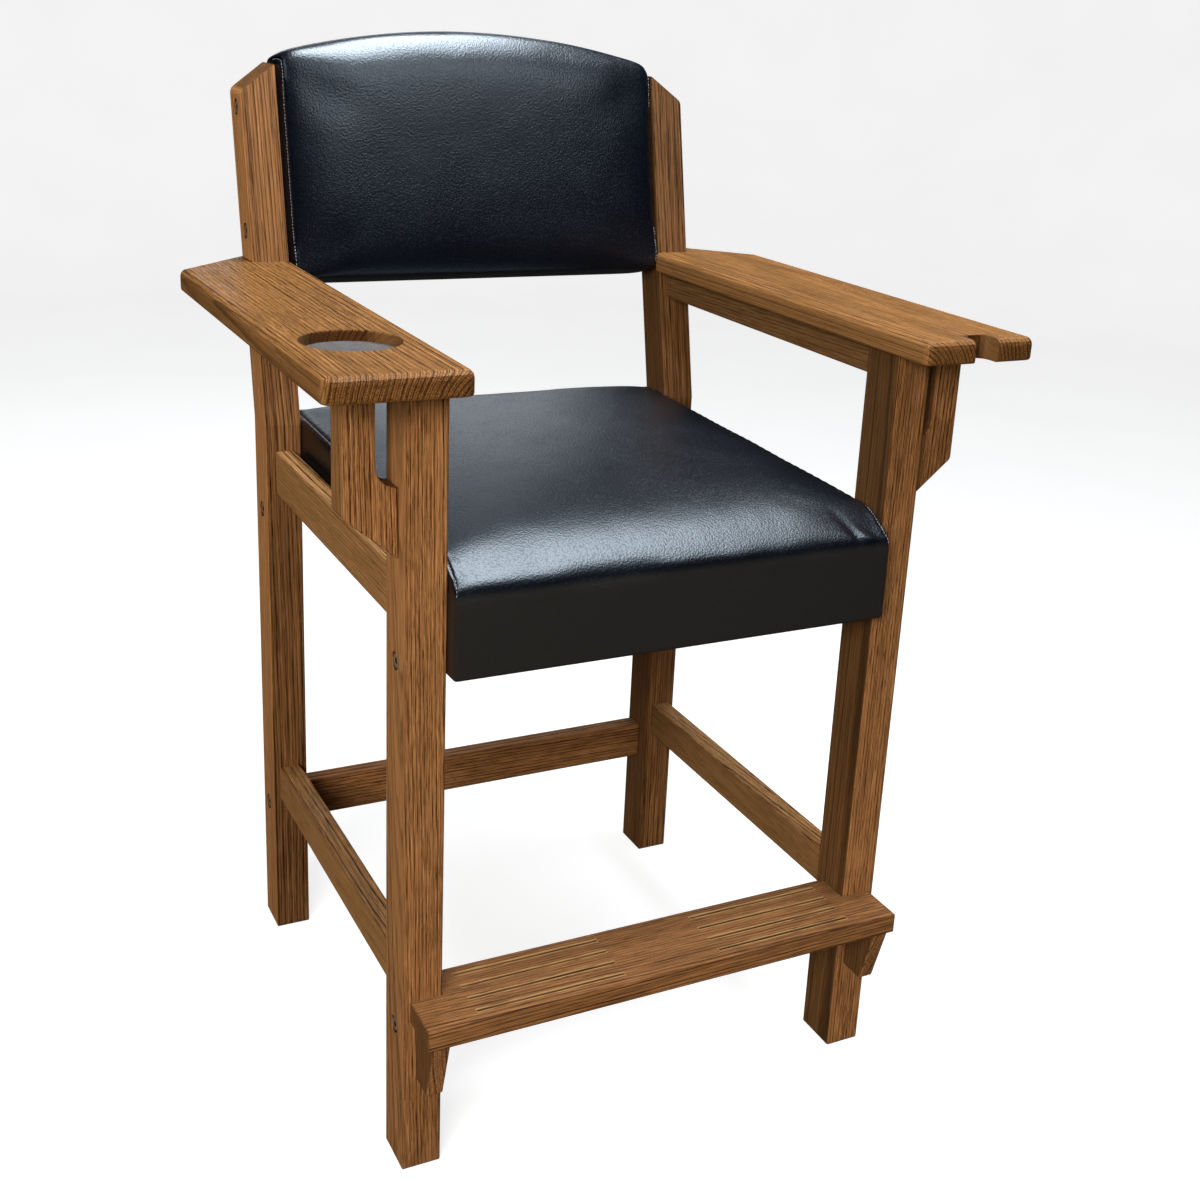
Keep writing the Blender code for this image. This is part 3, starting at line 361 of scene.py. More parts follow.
OAK_GRAIN = make_oak_grain()
EDGE_WEAR_AND_SHADE = make_edge_wear_and_shade()
PEBBLE_GRAIN = make_pebble_grain()


# Finishes

GRAIN_ALONG = {
    "x": Matrix.Rotation(-math.pi / 2, 3, "Y"),
    "y": Matrix.Rotation(math.pi / 2, 3, "X"),
    "z": Matrix.Identity(3),
}


def unbent(tree, place):
    """Coordinates in which the rear posts run straight up, so that their grain follows the bend."""
    x, y, z = tree.split(place)
    above = tree.math("MAXIMUM", tree.math("SUBTRACT", z, POST_BEND_HEIGHT), 0.0)
    y = tree.math("SUBTRACT", y, tree.times(above, math.tan(POST_RAKE)))
    return tree.add("ShaderNodeCombineXYZ", {"X": x, "Y": y, "Z": z}).outputs[0]


def cup_painted_shade(tree, place):
    """A mask of the cup recess below its rim, for painted shade on its walls."""
    low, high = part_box("cup_pad")
    centre = (low + high) / 2
    level = tree.scaled(tree.vector("SUBTRACT", place, centre), (1, 1, 0))
    inside = tree.fall(tree.vector("LENGTH", level), CUP_RADIUS + 0.0002, CUP_RADIUS + 0.0006)
    z = tree.split(place)["Z"]
    return tree.times(inside, tree.fall(z, ARM_TOP - 0.0022, ARM_TOP - 0.0006))


def notch_painted_shade(tree, place):
    """A mask of the cue notch's walls, for painted shade inside the notch."""
    x, y, _ = tree.split(place)
    off = tree.math("ABSOLUTE", tree.math("SUBTRACT", x, NOTCH_X))
    inside = tree.fall(off, NOTCH_HALF_WIDTH + 0.0002, NOTCH_HALF_WIDTH + 0.0012)
    return tree.times(inside, tree.fall(y, NOTCH_END + 0.0002, NOTCH_END + 0.0012))


def groove_painted_shade(tree, place):
    """A mask of the floors of the footboard's grooves, for painted shade in them."""
    _, y, z = tree.split(place)
    top = FOOTBOARD_HIGH.z
    below = tree.fall(z, top - 0.0019, top - 0.0010)
    above = tree.span(z, top - GROOVE_DEPTH - 0.0006, top - GROOVE_DEPTH - 0.0002)
    from_front = tree.span(y, FOOTBOARD_LOW.y + 0.006, FOOTBOARD_LOW.y + 0.008)
    from_rear = tree.fall(y, FOOTBOARD_HIGH.y - 0.008, FOOTBOARD_HIGH.y - 0.006)
    return tree.times(from_front, from_rear, below, above)


def groove_painted_highlight(tree, place):
    """A mask of the upper edges of the footboard's grooves, for a painted highlight along them."""
    x, y, z = tree.split(place)
    first = FOOTBOARD_LOW.y + GROOVE_FROM_FRONT
    steps = tree.math("DIVIDE", tree.math("SUBTRACT", y, first), GROOVE_PITCH)
    nearest = tree.math("MAXIMUM", tree.math("ROUND", steps), 0.0)
    nearest = tree.math("MINIMUM", nearest, GROOVES_PER_GROUP - 1.0)
    off = tree.times(tree.math("ABSOLUTE", tree.math("SUBTRACT", steps, nearest)), GROOVE_PITCH)
    from_edge = tree.math("ABSOLUTE", tree.math("SUBTRACT", off, GROOVE_WIDTH / 2))
    broken = tree.span(tree.noise(place, 45.0, 3.0), 0.35, 0.6, 0.0008, 0.0023)
    edge = tree.fall(tree.math("DIVIDE", from_edge, broken), 0.4, 1.0)
    along = tree.math("SUBTRACT", tree.math("ABSOLUTE", x), GROOVE_GROUP_OFFSET)
    within = tree.fall(tree.math("ABSOLUTE", along), GROOVE_LENGTH / 2, GROOVE_LENGTH / 2 + 0.0012)
    on_top = tree.span(z, FOOTBOARD_HIGH.z - 0.0012, FOOTBOARD_HIGH.z - 0.0006)
    return tree.times(edge, within, on_top)


def tone_and_light_board(tree, finish, place, normal, low, high, tone_and_light):
    """Runs a board's colour from its foot to its top, partly the board's own colour and partly painted
    shadow, makes its left and right faces golden and soft, and paints them lighter or darker as light falls
    on them.
    """
    foot, top, sides = tone_and_light
    height = tree.split(place)["Z"]
    sideways = tree.math("ABSOLUTE", tree.split(normal)["X"])
    sideways = tree.span(sideways, 0.5, 0.9)
    softer = tree.mix(tree.times(sideways, 0.42), finish, FLAT_SAWN)
    # Painted light and shade: faces to the left and right made lighter or darker by how light falls on them,
    # and the colour run from foot to top partly to stand in for shadows cast on the board.
    turned = tree.math("MULTIPLY_ADD", sideways, sides - 1.0, 1.0)
    height_tone_and_shade = tree.span(height, low.z, high.z, foot, top)
    return tree.scaled(softer, tree.times(height_tone_and_shade, turned))


def oak_finish(name, board, stain_and_edge_shade, tone_and_light, pith, lean):
    """Stained oak for one board: where the tree's heart lay and how the board leans to it."""
    material, tree, shader, place = new_material("oak_" + name)
    low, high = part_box(name)
    light, dark, edge = stain_and_edge_shade
    turn = Euler(lean).to_matrix() @ GRAIN_ALONG[board.along]
    centre = (low + high) / 2
    shift = Vector(pith) - turn @ centre
    angles = turn.to_euler()
    straight = unbent(tree, place) if name.startswith("rear_post") else place
    in_tree = {"Vector": straight, "Location": shift, "Rotation": angles}
    grain_place = tree.add("ShaderNodeMapping", in_tree).outputs[0]
    normal = tree.add("ShaderNodeTexCoord").outputs["Normal"]
    turned = {"Vector": normal, "Rotation": angles}
    facing = tree.add("ShaderNodeMapping", turned, vector_type="NORMAL").outputs[0]
    grain = tree.use(OAK_GRAIN, {
        "Vector": grain_place, "Facing": facing, "Ring Width": board.ring_width, "Figure": board.figure,
        "Light": light, "Dark": dark,
    })
    rub_and_shade = tree.use(EDGE_WEAR_AND_SHADE, {"Vector": place, "Centre": centre, "Half Size": (high - low) / 2})
    worn_and_shaded = tree.times(rub_and_shade["Mask"], EDGE_WEAR_AND_SHADE_STRENGTH)
    # Painted shade: the edge colour darkens the grain close to the edges.
    finish = tree.mix(worn_and_shaded, grain["Color"], edge)
    # Painted shade: the dark grain colour laid in the cup recess, the cue notch and the footboard's grooves.
    painted_shades = {"armrest_left": cup_painted_shade, "armrest_right": notch_painted_shade, "footboard": groove_painted_shade}
    if name in painted_shades:
        finish = tree.mix(tree.times(painted_shades[name](tree, place), PAINTED_SHADE_STRENGTH), finish, STAIN_DARK_AND_SHADE)
    if name == "footboard":
        # Painted highlight: a pale colour along the grooves' upper edges.
        finish = tree.mix(tree.times(groove_painted_highlight(tree, place), GROOVE_HIGHLIGHT_STRENGTH), finish, GROOVE_PAINTED_HIGHLIGHT)
    tree.feed(shader["Base Color"], tone_and_light_board(tree, finish, place, normal, low, high, tone_and_light))
    tree.feed(shader["Roughness"], tree.math("MULTIPLY_ADD", worn_and_shaded, 0.25, grain["Roughness"]))
    tree.feed(shader["Normal"], tree.bump(grain["Height"], PORE_DEPTH, 0.8))
    shader["Specular IOR Level"].default_value = OAK_GLOSS
    return material


VINYL_BLACK = colour(0.0010, 0.0016, 0.0036)
# Band colour with painted warm reflection
VINYL_BAND_WITH_REFLECTION = colour(0.0135, 0.0116, 0.0100)
PEBBLES_PER_METRE = 400.0
PEBBLE_HEIGHT = 0.00020


def vinyl_finish(name, gloss, roughness, band_top=None):
    """Black upholstery vinyl with a sheen cooled by painted light colour, duller on the band below the height
    given and lighter and warmer there with painted reflection.
    """
    material, tree, shader, place = new_material(name)
    grain = tree.use(PEBBLE_GRAIN, {"Vector": place, "Pebbles Per Metre": PEBBLES_PER_METRE})
    patch = tree.span(tree.noise(place, 14.0, 4.0, 0.6), 0.3, 0.7)
    lighter = colour(*(1.3 * level for level in VINYL_BLACK[:3]))
    finish = tree.mix(patch, VINYL_BLACK, lighter)
    dull = tree.span(patch, 0.0, 1.0, roughness, roughness + 0.025)
    dull = tree.math("MULTIPLY_ADD", grain["Crease"], 0.10, dull)
    if band_top is not None:
        height = tree.split(place)["Z"]
        band = tree.fall(height, band_top - 0.010, band_top)
        # Painted reflection: the band's lighter, warm colour stands in for warm light from the floor and
        # wood.
        finish = tree.mix(band, finish, VINYL_BAND_WITH_REFLECTION)
        dull = tree.math("MULTIPLY_ADD", band, 0.15, dull)
    tree.feed(shader["Base Color"], finish)
    tree.feed(shader["Roughness"], dull)
    tree.feed(shader["Normal"], tree.bump(grain["Height"], PEBBLE_HEIGHT))
    shader["Specular IOR Level"].default_value = gloss
    # Painted light colour: the bluish specular tint cools every reflection.
    shader["Specular Tint"].default_value = colour(0.86, 0.93, 1.0)
    return material


def steel_finish(name, base, roughness, metallic):
    """Plain turned steel with a thin finish, a little mottled, and painted shade where the piece's own
    attribute marks recesses.
    """
    material, tree, shader, place = new_material(name)
    mottle = tree.noise(place, 260.0, 4.0, 0.65)
    darker = colour(*(0.45 * level for level in base[:3]))
    painted_recess_shade = tree.add("ShaderNodeAttribute", attribute_name="painted_recess_shade").outputs["Fac"]
    metal = tree.mix(tree.span(mottle, 0.35, 0.7), base, darker)
    # Painted shade: near black where the attribute marks a recess.
    tree.feed(shader["Base Color"], tree.mix(painted_recess_shade, metal, colour(0.010, 0.007, 0.005)))
    tree.feed(shader["Roughness"], tree.span(mottle, 0.3, 0.7, roughness - 0.08, roughness + 0.12))
    tree.feed(shader["Normal"], tree.bump(tree.noise(place, 900.0, 2.0), 0.00008))
    shader["Metallic"].default_value = metallic
    return material


def thread_finish():
    """Grey polyester sewing thread, with the twist of its plies."""
    material, tree, shader, place = new_material("grey_thread")
    plies = tree.noise(place, 2600.0, 2.0)
    tree.feed(shader["Base Color"], tree.mix(plies, colour(0.14, 0.14, 0.145), colour(0.34, 0.34, 0.35)))
    tree.feed(shader["Roughness"], tree.span(plies, 0.3, 0.7, 0.4, 0.6))
    tree.feed(shader["Normal"], tree.bump(plies, 0.0002))
    return material


def felt_finish():
    """Mauve-grey felt: matted fibres, no gloss."""
    material, tree, shader, place = new_material("mauve_grey_felt")
    tangle = tree.scaled(tree.drift(place, 300.0), (0.004,) * 3)
    fibres = tree.noise(tree.vector("ADD", place, tangle), 1500.0, 3.0)
    tufts = tree.noise(place, 110.0, 3.0)
    shade = tree.math("MULTIPLY_ADD", fibres, 0.7, tree.times(tufts, 0.5))
    grey = tree.mix(tree.span(shade, 0.4, 0.8), colour(0.034, 0.027, 0.026), colour(0.082, 0.068, 0.066))
    tree.feed(shader["Base Color"], grey)
    tree.feed(shader["Roughness"], tree.span(fibres, 0.3, 0.7, 0.88, 1.0))
    tree.feed(shader["Normal"], tree.bump(shade, 0.0006))
    shader["Sheen Weight"].default_value = 0.08
    return material


def dust_cloth_finish():
    """Black plain-woven dust cloth."""
    material, tree, shader, place = new_material("black_dust_cloth")
    x, y, _ = tree.split(place)
    threads_per_metre = 1250.0 * math.pi
    warp = tree.math("ABSOLUTE", tree.math("SINE", tree.times(x, threads_per_metre)))
    weft = tree.math("ABSOLUTE", tree.math("SINE", tree.times(y, threads_per_metre)))
    weave = tree.times(warp, weft)
    slub = tree.noise(tree.scaled(place, (1, 0.05, 1)), 700.0, 2.0)
    shade = tree.math("MULTIPLY_ADD", weave, 0.6, tree.times(slub, 0.5))
    tree.feed(shader["Base Color"], tree.mix(shade, colour(0.006, 0.006, 0.006), colour(0.035, 0.035, 0.037)))
    tree.feed(shader["Roughness"], tree.span(slub, 0.3, 0.7, 0.8, 0.95))
    tree.feed(shader["Normal"], tree.bump(weave, 0.0003))
    return material


def plywood_finish():
    """Bare plywood: thin layers in the height, pale fibre along X."""
    material, tree, shader, place = new_material("bare_plywood")
    _, _, z = tree.split(place)
    layer = tree.math("FLOOR", tree.times(z, 420.0))
    odd = tree.math("ABSOLUTE", tree.math("MODULO", layer, 2.0))
    fibre = tree.noise(tree.scaled(place, (0.03, 1, 1)), 420.0, 3.0)
    shade = tree.math("MULTIPLY_ADD", odd, 0.3, tree.times(fibre, 0.7))
    tree.feed(shader["Base Color"], tree.mix(shade, colour(0.60, 0.42, 0.24), colour(0.40, 0.26, 0.13)))
    tree.feed(shader["Roughness"], tree.span(fibre, 0.3, 0.7, 0.6, 0.8))
    tree.feed(shader["Normal"], tree.bump(fibre, 0.0002))
    return material


def studio_paper_finish():
    """The pale studio floor: white paper to look at, but it throws little light back on the chair."""
    material, tree, shader, place = new_material("studio_paper")
    mottle = tree.noise(place, 3.0, 3.0)
    paper = tree.mix(mottle, colour(0.86, 0.86, 0.86), colour(0.90, 0.90, 0.90))
    seen = tree.add("ShaderNodeLightPath").outputs["Is Camera Ray"]
    tree.feed(shader["Base Color"], tree.mix(seen, colour(0.048, 0.042, 0.036), colour(0.42, 0.42, 0.42)))
    tree.feed(shader["Emission Color"], paper)
    tree.feed(shader["Emission Strength"], tree.times(seen, 0.92))
    tree.feed(shader["Roughness"], tree.span(mottle, 0.3, 0.7, 0.75, 0.85))
    shader["Specular IOR Level"].default_value = 0.1
    return material


# Studio

def link(obj):
    bpy.context.scene.collection.objects.link(obj)
    return obj


def shade_smooth(mesh):
    mesh.polygons.foreach_set("use_smooth", [True] * len(mesh.polygons))


def finished_mesh(name, bm):
    """The mesh of a bmesh, with its faces pointing outwards."""
    bmesh.ops.recalc_face_normals(bm, faces=bm.faces)
    mesh = bpy.data.meshes.new(name)
    bm.to_mesh(mesh)
    bm.free()
    return mesh


def skin(name, rings):
    """A closed mesh through rings of equally many points, capped at both ends."""
    bm = bmesh.new()
    loops = [[bm.verts.new(point) for point in ring] for ring in rings]
    for lower, upper in zip(loops, loops[1:]):
        for k in range(len(lower)):
            after = (k + 1) % len(lower)
            bm.faces.new((lower[k], lower[after], upper[after], upper[k]))
    bm.faces.new(loops[0])
    bm.faces.new(loops[-1])
    return finished_mesh(name, bm)


def make_camera():
    data = bpy.data.cameras.new("photo_camera")
    data.lens = CAMERA_LENS
    data.sensor_width = CAMERA_SENSOR
    data.shift_x, data.shift_y = CAMERA_SHIFT
    camera = link(bpy.data.objects.new("photo_camera", data))
    level = math.cos(CAMERA_DROP)
    sideways, forward = math.sin(CAMERA_AZIMUTH), math.cos(CAMERA_AZIMUTH)
    ahead = Vector((sideways * level, forward * level, -math.sin(CAMERA_DROP)))
    right = Vector((forward, -sideways, 0))
    up = right.cross(ahead)
    rolled_right = math.cos(CAMERA_ROLL) * right + math.sin(CAMERA_ROLL) * up
    rolled_up = math.cos(CAMERA_ROLL) * up - math.sin(CAMERA_ROLL) * right
    turn = Matrix((rolled_right, rolled_up, -ahead)).transposed()
    camera.matrix_world = Matrix.Translation(CAMERA_PLACE) @ turn.to_4x4()
    bpy.context.scene.camera = camera


def make_softbox(name, place, target, size, power, tint, mirrored=True):
    data = bpy.data.lights.new(name, "AREA")
    data.shape = "RECTANGLE"
    data.size, data.size_y = size
    data.energy = power
    data.color = tint
    light = link(bpy.data.objects.new(name, data))
    light.location = place
    light.visible_camera = False
    light.visible_glossy = mirrored
    light.rotation_euler = (Vector(target) - Vector(place)).to_track_quat("-Z", "Y").to_euler()


def make_lights():
    """Two key lights, panels for the vinyl's sheen and a fill for the sides that the photo doesn't show."""
    cool, warm = (0.86, 0.94, 1.0), (1.0, 0.98, 0.95)
    make_softbox("overhead_key", (0.32, -0.30, 2.45), (0.05, -0.25, 0.7), (1.5, 1.35), 80, cool)
    make_softbox("left_key", (-2.1, -2.6, 1.9), (0, 0, 0.5), (1.5, 1.5), 148, warm, mirrored=False)
    make_softbox("back_panel", (0.40, -1.5, 2.30), (0, 0.3, 1.1), (1.7, 0.28), 12, cool)
    make_softbox("back_strip", (0.20, 0.28, 2.60), (0, 0.3, 1.2), (1.5, 0.85), 95, cool)
    make_softbox("rear_panel", (0.75, 3.0, 1.60), (0, 0, 0.7), (1.3, 1.0), 8.0, cool)
    make_softbox("rear_fill", (2.1, 2.4, 1.05), (0, 0, 0.65), (1.6, 1.2), 80, warm, mirrored=False)
    world = bpy.data.worlds.new("studio_air")
    bpy.context.scene.world = world
    world.use_nodes = True
    background = world.node_tree.nodes["Background"].inputs
    background["Color"].default_value = colour(0.95, 0.97, 1.0)
    background["Strength"].default_value = 0.06
    world.cycles_visibility.glossy = False
    bpy.context.scene.view_settings.view_transform = "Standard"


def flag_lights(back, floor):
    """Keeps the seat's light off the back, the back's two lights off the rest and the fill off the floor."""
    flags = (
        ("overhead_key", "EXCLUDE", back), ("back_panel", "INCLUDE", back), ("back_strip", "INCLUDE", back),
        ("rear_fill", "EXCLUDE", floor),
    )
    for name, state, piece in flags:
        lit = bpy.data.collections.new(name + "_flags")
        lit.objects.link(piece)
        lit.collection_objects[0].light_linking.link_state = state
        bpy.data.objects[name].light_linking.receiver_collection = lit


def make_studio_floor():
    """A pale floor that sweeps up into a round wall, far enough off to walk the camera round the chair."""
    floor_radius, sweep, wall_height, segments = 5.0, 1.6, 3.2, 96
    profile = [(0.0, 0.0), (floor_radius * 0.5, 0.0), (floor_radius, 0.0)]
    for step in range(1, 13):
        angle = step / 12 * math.pi / 2
        profile.append((floor_radius + sweep * math.sin(angle), sweep * (1 - math.cos(angle))))
    profile.append((floor_radius + sweep, wall_height))
    bm = bmesh.new()
    corners = [bm.verts.new((radius, 0, height)) for radius, height in profile]
    edges = [bm.edges.new(pair) for pair in zip(corners, corners[1:])]
    turn = {"cent": (0, 0, 0), "axis": (0, 0, 1), "angle": 2 * math.pi, "steps": segments}
    bmesh.ops.spin(bm, geom=corners + edges, **turn)
    bmesh.ops.remove_doubles(bm, verts=bm.verts, dist=1e-5)
    mesh = finished_mesh("studio_floor", bm)
    shade_smooth(mesh)
    mesh.materials.append(studio_paper_finish())
    floor = link(bpy.data.objects.new("studio_floor", mesh))
    return floor


# Frame of the chair

STAIN_LIGHT = colour(0.372, 0.163, 0.056)
# Dark of the grain, also painted as shade in recesses
STAIN_DARK_AND_SHADE = colour(0.030, 0.009, 0.002)
# Painted shade for the boards' edges
PAINTED_EDGE_SHADE = colour(0.075, 0.027, 0.008)
RAIL_LIGHT = colour(0.390, 0.192, 0.066)
ARM_LIGHT = colour(0.268, 0.116, 0.032)
ARM_DARK = colour(0.032, 0.010, 0.002)
# Painted shade for the armrests' edges
ARM_PAINTED_EDGE_SHADE = colour(0.250, 0.105, 0.028)
# Pale colour painted along the grooves' edges as highlight
GROOVE_PAINTED_HIGHLIGHT = colour(0.520, 0.310, 0.130)
FLAT_SAWN = colour(0.225, 0.110, 0.040)
# How strongly edges get rougher with wear and darker with painted shade
EDGE_WEAR_AND_SHADE_STRENGTH = 0.45
# How strongly painted shade darkens the recesses
PAINTED_SHADE_STRENGTH = 0.72
# How strongly the painted highlight lightens the grooves' edges
GROOVE_HIGHLIGHT_STRENGTH = 0.85
PORE_DEPTH = 0.00035
OAK_GLOSS = 0.14

# Tone of single boards against the rest, with painted light and shade: at the foot, at the top, and on the
# faces to the left and right
BOARD_TONES_AND_LIGHT = {
    "front_leg_left": (1.0, 1.0, 1.35),
    "arm_bracket_right": (0.85, 0.85, 0.6),
    "front_leg_right": (1.32, 0.80, 0.42),
    "rear_post_left": (0.56, 0.60, 3.3),
    "footboard": (0.88, 0.88, 0.9),
    "rear_post_right": (0.78, 0.36, 0.9),
    "foot_bracket_left": (1.1, 1.1, 0.55),
    "foot_bracket_right": (1.1, 1.1, 0.45),
    "seat_rail_left": (1.0, 1.0, 1.3),
    "lower_rail_left": (1.0, 1.0, 1.3),
    "arm_rail_right": (0.8, 0.8, 0.75),
}


class Board:
    """How a kind of board was sawn: the axis its grain runs along, where it lay from the tree's heart across
    the grain, how wide the rings are and how strong they show."""

    def __init__(self, along, from_heart, ring_width, figure=1.0, lean=1.2):
        self.along = along
        self.from_heart = from_heart
        self.ring_width = ring_width
        self.figure = figure
        self.lean = math.radians(lean)


BOARDS = {
    "front_leg": Board("z", (0.095, 0.022), 0.0042),
    "rear_post": Board("z", (0.085, -0.030), 0.0060, lean=0.8),
    "arm_bracket": Board("z", (0.060, 0.040), 0.0050, lean=2.0),
    "foot_bracket": Board("z", (0.050, 0.050), 0.0048),
    "seat_rail": Board("y", (0.030, 0.090), 0.0040),
    "lower_rail": Board("y", (0.040, 0.080), 0.0038),
    "arm_rail": Board("y", (0.025, 0.075), 0.0045),
    "armrest": Board("y", (0.085, -0.030), 0.0052, figure=1.1, lean=0.5),
    "footboard": Board("x", (0.045, 0.070), 0.0040),
    "front_stretcher": Board("x", (0.080, 0.030), 0.0047),
    "rear_stretcher": Board("x", (0.075, 0.030), 0.0047),
}


def dress(name, material):
    mesh = NODES[name].data
    mesh.materials.clear()
    mesh.materials.append(material)


def finish_boards():
    """Gives each oak board its own piece of the tree."""
    number = 0
    for name in sorted(NODES):
        kind = name.removesuffix("_left").removesuffix("_right")
        if kind not in BOARDS:
            continue
        number += 1
        board = BOARDS[kind]
        side = -1 if name.endswith("_left") else 1
        pith = (side * board.from_heart[0], board.from_heart[1], 0.83 * number)
        lean = (board.lean * math.sin(2.1 * number), board.lean * math.cos(1.3 * number), 0)
        stain_and_edge_shade = (STAIN_LIGHT, STAIN_DARK_AND_SHADE, PAINTED_EDGE_SHADE)
        if kind == "armrest":
            stain_and_edge_shade = (ARM_LIGHT, ARM_DARK, ARM_PAINTED_EDGE_SHADE)
        elif kind in ("seat_rail", "lower_rail", "arm_rail"):
            stain_and_edge_shade = (RAIL_LIGHT, STAIN_DARK_AND_SHADE, PAINTED_EDGE_SHADE)
        tone_and_light = BOARD_TONES_AND_LIGHT.get(name, (1.0, 1.0, 1.0))
        dress(name, oak_finish(name, board, stain_and_edge_shade, tone_and_light, pith, lean))


SEAT_FRAME = ("seat_end_rail_left", "seat_end_rail_right", "seat_front_rail", "seat_rear_rail")


def finish_hidden_pieces(zinc):
    plywood = plywood_finish()
    for name in NODES:
        if name in (*SEAT_FRAME, "seat_deck", "back_board"):
            dress(name, plywood)
        elif "_nut_" in name or name.startswith("arm_screw"):
            dress(name, zinc)


# Cushions

def unit(values):
    return np.clip(values, 0, 1)


def bell(away, width):
    """1 where away is 0, falling off smoothly within about the width given."""
    return np.exp(-(away / width) ** 2)


def stations(length):
    """Places from 0 to length, close together near both ends."""
    ends = np.array(EDGE_ROWS)
    between = length - 2 * ends[-1]
    middle = np.linspace(ends[-1], length - ends[-1], max(2, round(between / COVER_STEP) + 1))
    return np.concatenate([ends[:-1], middle, (length - ends[:-1])[::-1]])


def box_grid(widths, depths, heights):
    """The surface of a box as one grid: its points, and quads that share them."""
    sizes = (len(widths), len(depths), len(heights))
    index, points, quads = {}, [], []

    def point(i, j, k):
        if (i, j, k) not in index:
            index[i, j, k] = len(points)
            points.append((widths[i], depths[j], heights[k]))
        return index[i, j, k]

    for axis in range(3):
        across, along = (axis + 1) % 3, (axis + 2) % 3
        for end in (0, sizes[axis] - 1):
            for a in range(sizes[across] - 1):
                for b in range(sizes[along] - 1):
                    quad = []
                    for da, db in ((0, 0), (1, 0), (1, 1), (0, 1)):
                        corner = [0, 0, 0]
                        corner[axis], corner[across], corner[along] = end, a + da, b + db
                        quad.append(point(*corner))
                    quads.append(quad if end else quad[::-1])
    return np.array(points), quads


def round_corner(first, second, radius):
    """Bends a square corner into an arc: distances from its two faces, one of them 0, before and after."""
    angle = np.clip(1 - (first - second) / radius, 0, 2) * math.pi / 4
    bent_first = radius * (1 - np.sin(angle)) + np.maximum(first - radius, 0)
    bent_second = radius * (1 - np.cos(angle)) + np.maximum(second - radius, 0)
    return bent_first, bent_second


def boxed_cushion(width, depth, height, radii, seam_radii):
    """A cushion's cover in a box from (0, 0, 0): a profile rounded at its front-top, rear-top, front-bottom
    and rear-bottom edges, drawn across the width and closed by sides, with edges whose radii follow the
    heights given. Also gives each point's distance from the side seam, positive on the profile and negative
    on the sides."""
    grid, quads = box_grid(stations(width), stations(depth), stations(height))
    x, y, z = grid.T
    across, up = 2 * y / depth - 1, 2 * z / height - 1
    rim = np.maximum(np.maximum(np.abs(across), np.abs(up)), 1e-6)
    rim_y, rim_z = depth / 2 * (1 + across / rim), height / 2 * (1 + up / rim)
    for (rear, top), radius in zip(((0, 1), (1, 1), (0, 0), (1, 0)), radii):
        from_face = depth - rim_y if rear else rim_y
        from_level = height - rim_z if top else rim_z
        near = (from_face < radius) & (from_level < radius)
        bent_face, bent_level = round_corner(from_face[near], from_level[near], radius)
        rim_y[near] = depth - bent_face if rear else bent_face
        rim_z[near] = height - bent_level if top else bent_level
    margin = min(max(radii) * 1.3, depth / 2.2, height / 2.2)
    core_y, core_z = np.clip(rim_y, margin, depth - margin), np.clip(rim_z, margin, height - margin)
    inward = np.stack([core_y - rim_y, core_z - rim_z])
    inward /= np.linalg.norm(inward, axis=0)
    reach = (depth / 2 - rim_y) * inward[0] + (height / 2 - rim_z) * inward[1]
    from_side = np.minimum(x, width - x)
    from_profile = (1 - rim) * reach
    bent_side, bent_profile = round_corner(from_side, from_profile, np.interp(rim_z, *zip(*seam_radii)))
    push = bent_profile - from_profile
    y = depth / 2 + (rim_y - depth / 2) * rim + inward[0] * push
    z = height / 2 + (rim_z - height / 2) * rim + inward[1] * push
    x = np.where(x < width / 2, bent_side, width - bent_side)
    return np.stack([x, y, z], axis=1), quads, from_side - from_profile


def piece_from(name, points, quads, seam=None):
    """A smooth closed piece; seam is kept on its points so that it survives subdivision."""
    mesh = bpy.data.meshes.new(name)
    mesh.from_pydata(points.tolist(), [], quads)
    if seam is not None:
        mesh.attributes.new("seam", "FLOAT", "POINT").data.foreach_set("value", seam)
    bm = bmesh.new()
    bm.from_mesh(mesh)
    bmesh.ops.recalc_face_normals(bm, faces=bm.faces)
    bm.to_mesh(mesh)
    bm.free()
    shade_smooth(mesh)
    return link(bpy.data.objects.new(name, mesh))


def read_points(mesh, what="co"):
    values = np.empty(len(mesh.vertices) * 3)
    mesh.vertices.foreach_get(what, values)
    return values.reshape(-1, 3)


def write_points(mesh, points):
    mesh.vertices.foreach_set("co", points.ravel())
    mesh.update()


def read_seam(mesh):
    values = np.empty(len(mesh.vertices))
    mesh.attributes["seam"].data.foreach_get("value", values)
    return values


